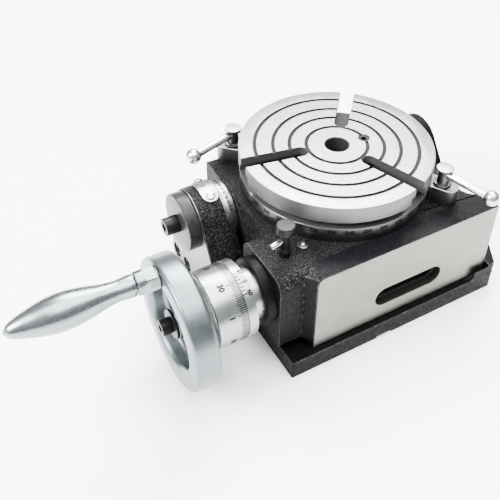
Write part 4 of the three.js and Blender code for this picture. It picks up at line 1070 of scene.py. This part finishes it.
def handle():
    """The pin with its flatted ferrule, and the grip that turns on it."""
    centre = (GRIP_Y, GRIP_Z)
    root, face = WHEEL_LEFT + 7, WHEEL_LEFT - GAP
    end, pin_end, r, pin_r = -133.6, -181.0, 6.0, 3.0
    profile = rounded([
        (0, root), (pin_r, root), (pin_r, face), (r, face, 0.4), (r, end, 0.5), (pin_r, end),
        (pin_r, pin_end), (0, pin_end),
    ], 3)
    bm = lathe(profile, "X", centre, 96)
    flats = []
    for side in (-1, 1):
        near, far = sorted((side * (r - 1.1), side * (r + 1)))
        flat = block(face - 6.5, face - 0.9, -r, r, near, far)
        moved(flat, turn(12, "X"))
        flats.append(moved(flat, shift(0, *centre)))
    bm = combine(bm, flats)
    piece("handle_pin_looks", bm, GRIP_ALUMINIUM, "worm", ["handle_pin"], 0.25)

    start, tip = end - 0.8, low("handle_grip").x
    stations = [(0.0, 5.5), (0.03, 5.6), (0.08, 5.4), (0.14, 5.2), (0.24, 5.95), (0.34, 7.3), (0.45, 8.5),
                (0.55, 9.0), (0.65, 8.6), (0.74, 7.6), (0.82, 6.3), (0.89, 5.0), (0.96, 3.1), (1.0, 0.0)]
    curve = smooth_through(stations, 6)
    bore_r, bore_end = pin_r + GAP, tip + 13
    profile = [(bore_r, start)] + [(r, start + (tip - start) * t) for t, r in curve]
    profile += [(0, bore_end), (bore_r, bore_end)]
    piece("grip_looks", lathe(profile, "X", centre, 96), GRIP_ALUMINIUM, "grip", ["handle_grip"],
          sharp=50)


def smooth_through(stations, steps):
    """Catmull-Rom points through (position, radius) stations."""
    points = [Vector(p) for p in stations]
    padded = [2 * points[0] - points[1], *points, 2 * points[-1] - points[-2]]
    out = []
    for a, b, c, d in zip(padded, padded[1:], padded[2:], padded[3:]):
        for k in range(steps):
            t = k / steps
            square = (2 * a - 5 * b + 4 * c - d) * t**2
            cube = (3 * b - a - 3 * c + d) * t**3
            p = 0.5 * (2 * b + (c - a) * t + square + cube)
            out.append((p.x, max(p.y, 0.0)))
    out.append(tuple(points[-1]))
    return out


def hidden_parts():
    """Pieces that stay as CAD nodes, because the housing covers them, still get their finish."""
    for node, look in {
        "bottom_cover": BLACK_OXIDE, "table_bush": BRONZE, "worm_bush": BRONZE, "worm_wheel": BRONZE,
        "wheel_lock_nut": BLACK_OXIDE, "worm_shaft": RIM_STEEL,
    }.items():
        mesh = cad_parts[node].data
        mesh.materials.clear()
        mesh.materials.append(look)


# ---------- studio ----------
CAMERA_AZIMUTH, CAMERA_ELEVATION, CAMERA_ROLL = -33.39, 40.0, 3.2
CAMERA_TARGET = Vector((-17.28, 7.41, 50.0))
CAMERA_DISTANCE = 438.9
CAMERA_LENS = 53.86
CAMERA_SHIFT = (-0.1015, -0.1045)


def looking(azimuth, elevation):
    """The direction from the target back to a viewer at this azimuth and elevation."""
    a, e = math.radians(azimuth), math.radians(elevation)
    return Vector((math.sin(a) * math.cos(e), -math.cos(a) * math.cos(e), math.sin(e)))


def camera():
    back = looking(CAMERA_AZIMUTH, CAMERA_ELEVATION)
    level = Vector((math.cos(math.radians(CAMERA_AZIMUTH)), math.sin(math.radians(CAMERA_AZIMUTH)), 0))
    up = back.cross(level)
    roll = math.radians(CAMERA_ROLL)
    right = math.cos(roll) * level + math.sin(roll) * up
    up = math.cos(roll) * up - math.sin(roll) * level
    data = bpy.data.cameras.new("camera")
    data.lens = CAMERA_LENS
    data.sensor_width = 36
    data.shift_x, data.shift_y = CAMERA_SHIFT
    data.clip_start = 0.01
    obj = linked("camera", data)
    place = Matrix((right, up, back)).transposed().to_4x4()
    place.translation = (CAMERA_TARGET + back * CAMERA_DISTANCE) * MM
    obj.matrix_world = place
    bpy.context.scene.camera = obj


def area_light(name, azimuth, elevation, distance, size, power):
    data = bpy.data.lights.new(name, "AREA")
    data.shape = "RECTANGLE"
    data.size, data.size_y = size
    data.energy = power
    obj = linked(name, data)
    back = looking(azimuth, elevation)
    obj.location = back * distance
    obj.rotation_euler = back.to_track_quat("Z", "Y").to_euler()


def studio():
    floor_look = Look("studio_floor", (0.93, 0.93, 0.93), 0.0, 0.7)
    floor_look.colour(floor_look.ranged(floor_look.noise(0.01, 2), 0.3, 0.7, 0, 1), (0.94, 0.94, 0.94),
                      (0.92, 0.92, 0.92))
    bm = bmesh.new()
    bmesh.ops.create_grid(bm, x_segments=8, y_segments=8, size=3.0)
    mesh = as_mesh("floor", bm)
    mesh.materials.append(floor_look.material)
    linked("floor", mesh)

    area_light("overhead", 20, 80, 1.1, (1.0, 1.0), 48)
    area_light("back_glare", 150, 56, 1.2, (0.8, 0.5), 62)
    area_light("key_left", -92, 42, 1.1, (0.5, 0.5), 44)

    world = bpy.data.worlds.new("studio")
    bpy.context.scene.world = world
    world.use_nodes = True
    nodes, links = world.node_tree.nodes, world.node_tree.links
    place = nodes.new("ShaderNodeTexCoord").outputs["Generated"]
    split = nodes.new("ShaderNodeSeparateXYZ")
    links.new(place, split.inputs[0])
    strength = nodes.new("ShaderNodeMath")
    strength.operation = "MULTIPLY"
    for i, (axis, ends) in enumerate((("Z", (-0.1, 0.8, 0.3, 1.3)), ("X", (-1.0, 1.0, 1.3, 0.6)))):
        ramp = nodes.new("ShaderNodeMapRange")
        links.new(split.outputs[axis], ramp.inputs["Value"])
        for key, value in zip(("From Min", "From Max", "To Min", "To Max"), ends):
            ramp.inputs[key].default_value = value
        links.new(ramp.outputs[0], strength.inputs[i])
    background = nodes["Background"]
    links.new(strength.outputs[0], background.inputs["Strength"])
    background.inputs["Color"].default_value = (1, 1, 1, 1)


def build():
    base_casting()
    left_bracket()
    bracket_bolts()
    tilt_vernier()
    cradle_housing()
    casting_seam()
    tilt_clamp()
    tilt_scale()
    clamp_block("left", LEFT_STUD, 137)
    clamp_block("right", RIGHT_STUD, -58)
    clamp("left", LEFT_STUD, -167)
    clamp("right", RIGHT_STUD, -68.5)
    sleeve_lock()
    ball_oiler()
    rotary_table()
    sleeve()
    dial()
    handwheel()
    handle()
    hidden_parts()
    camera()
    studio()


build()
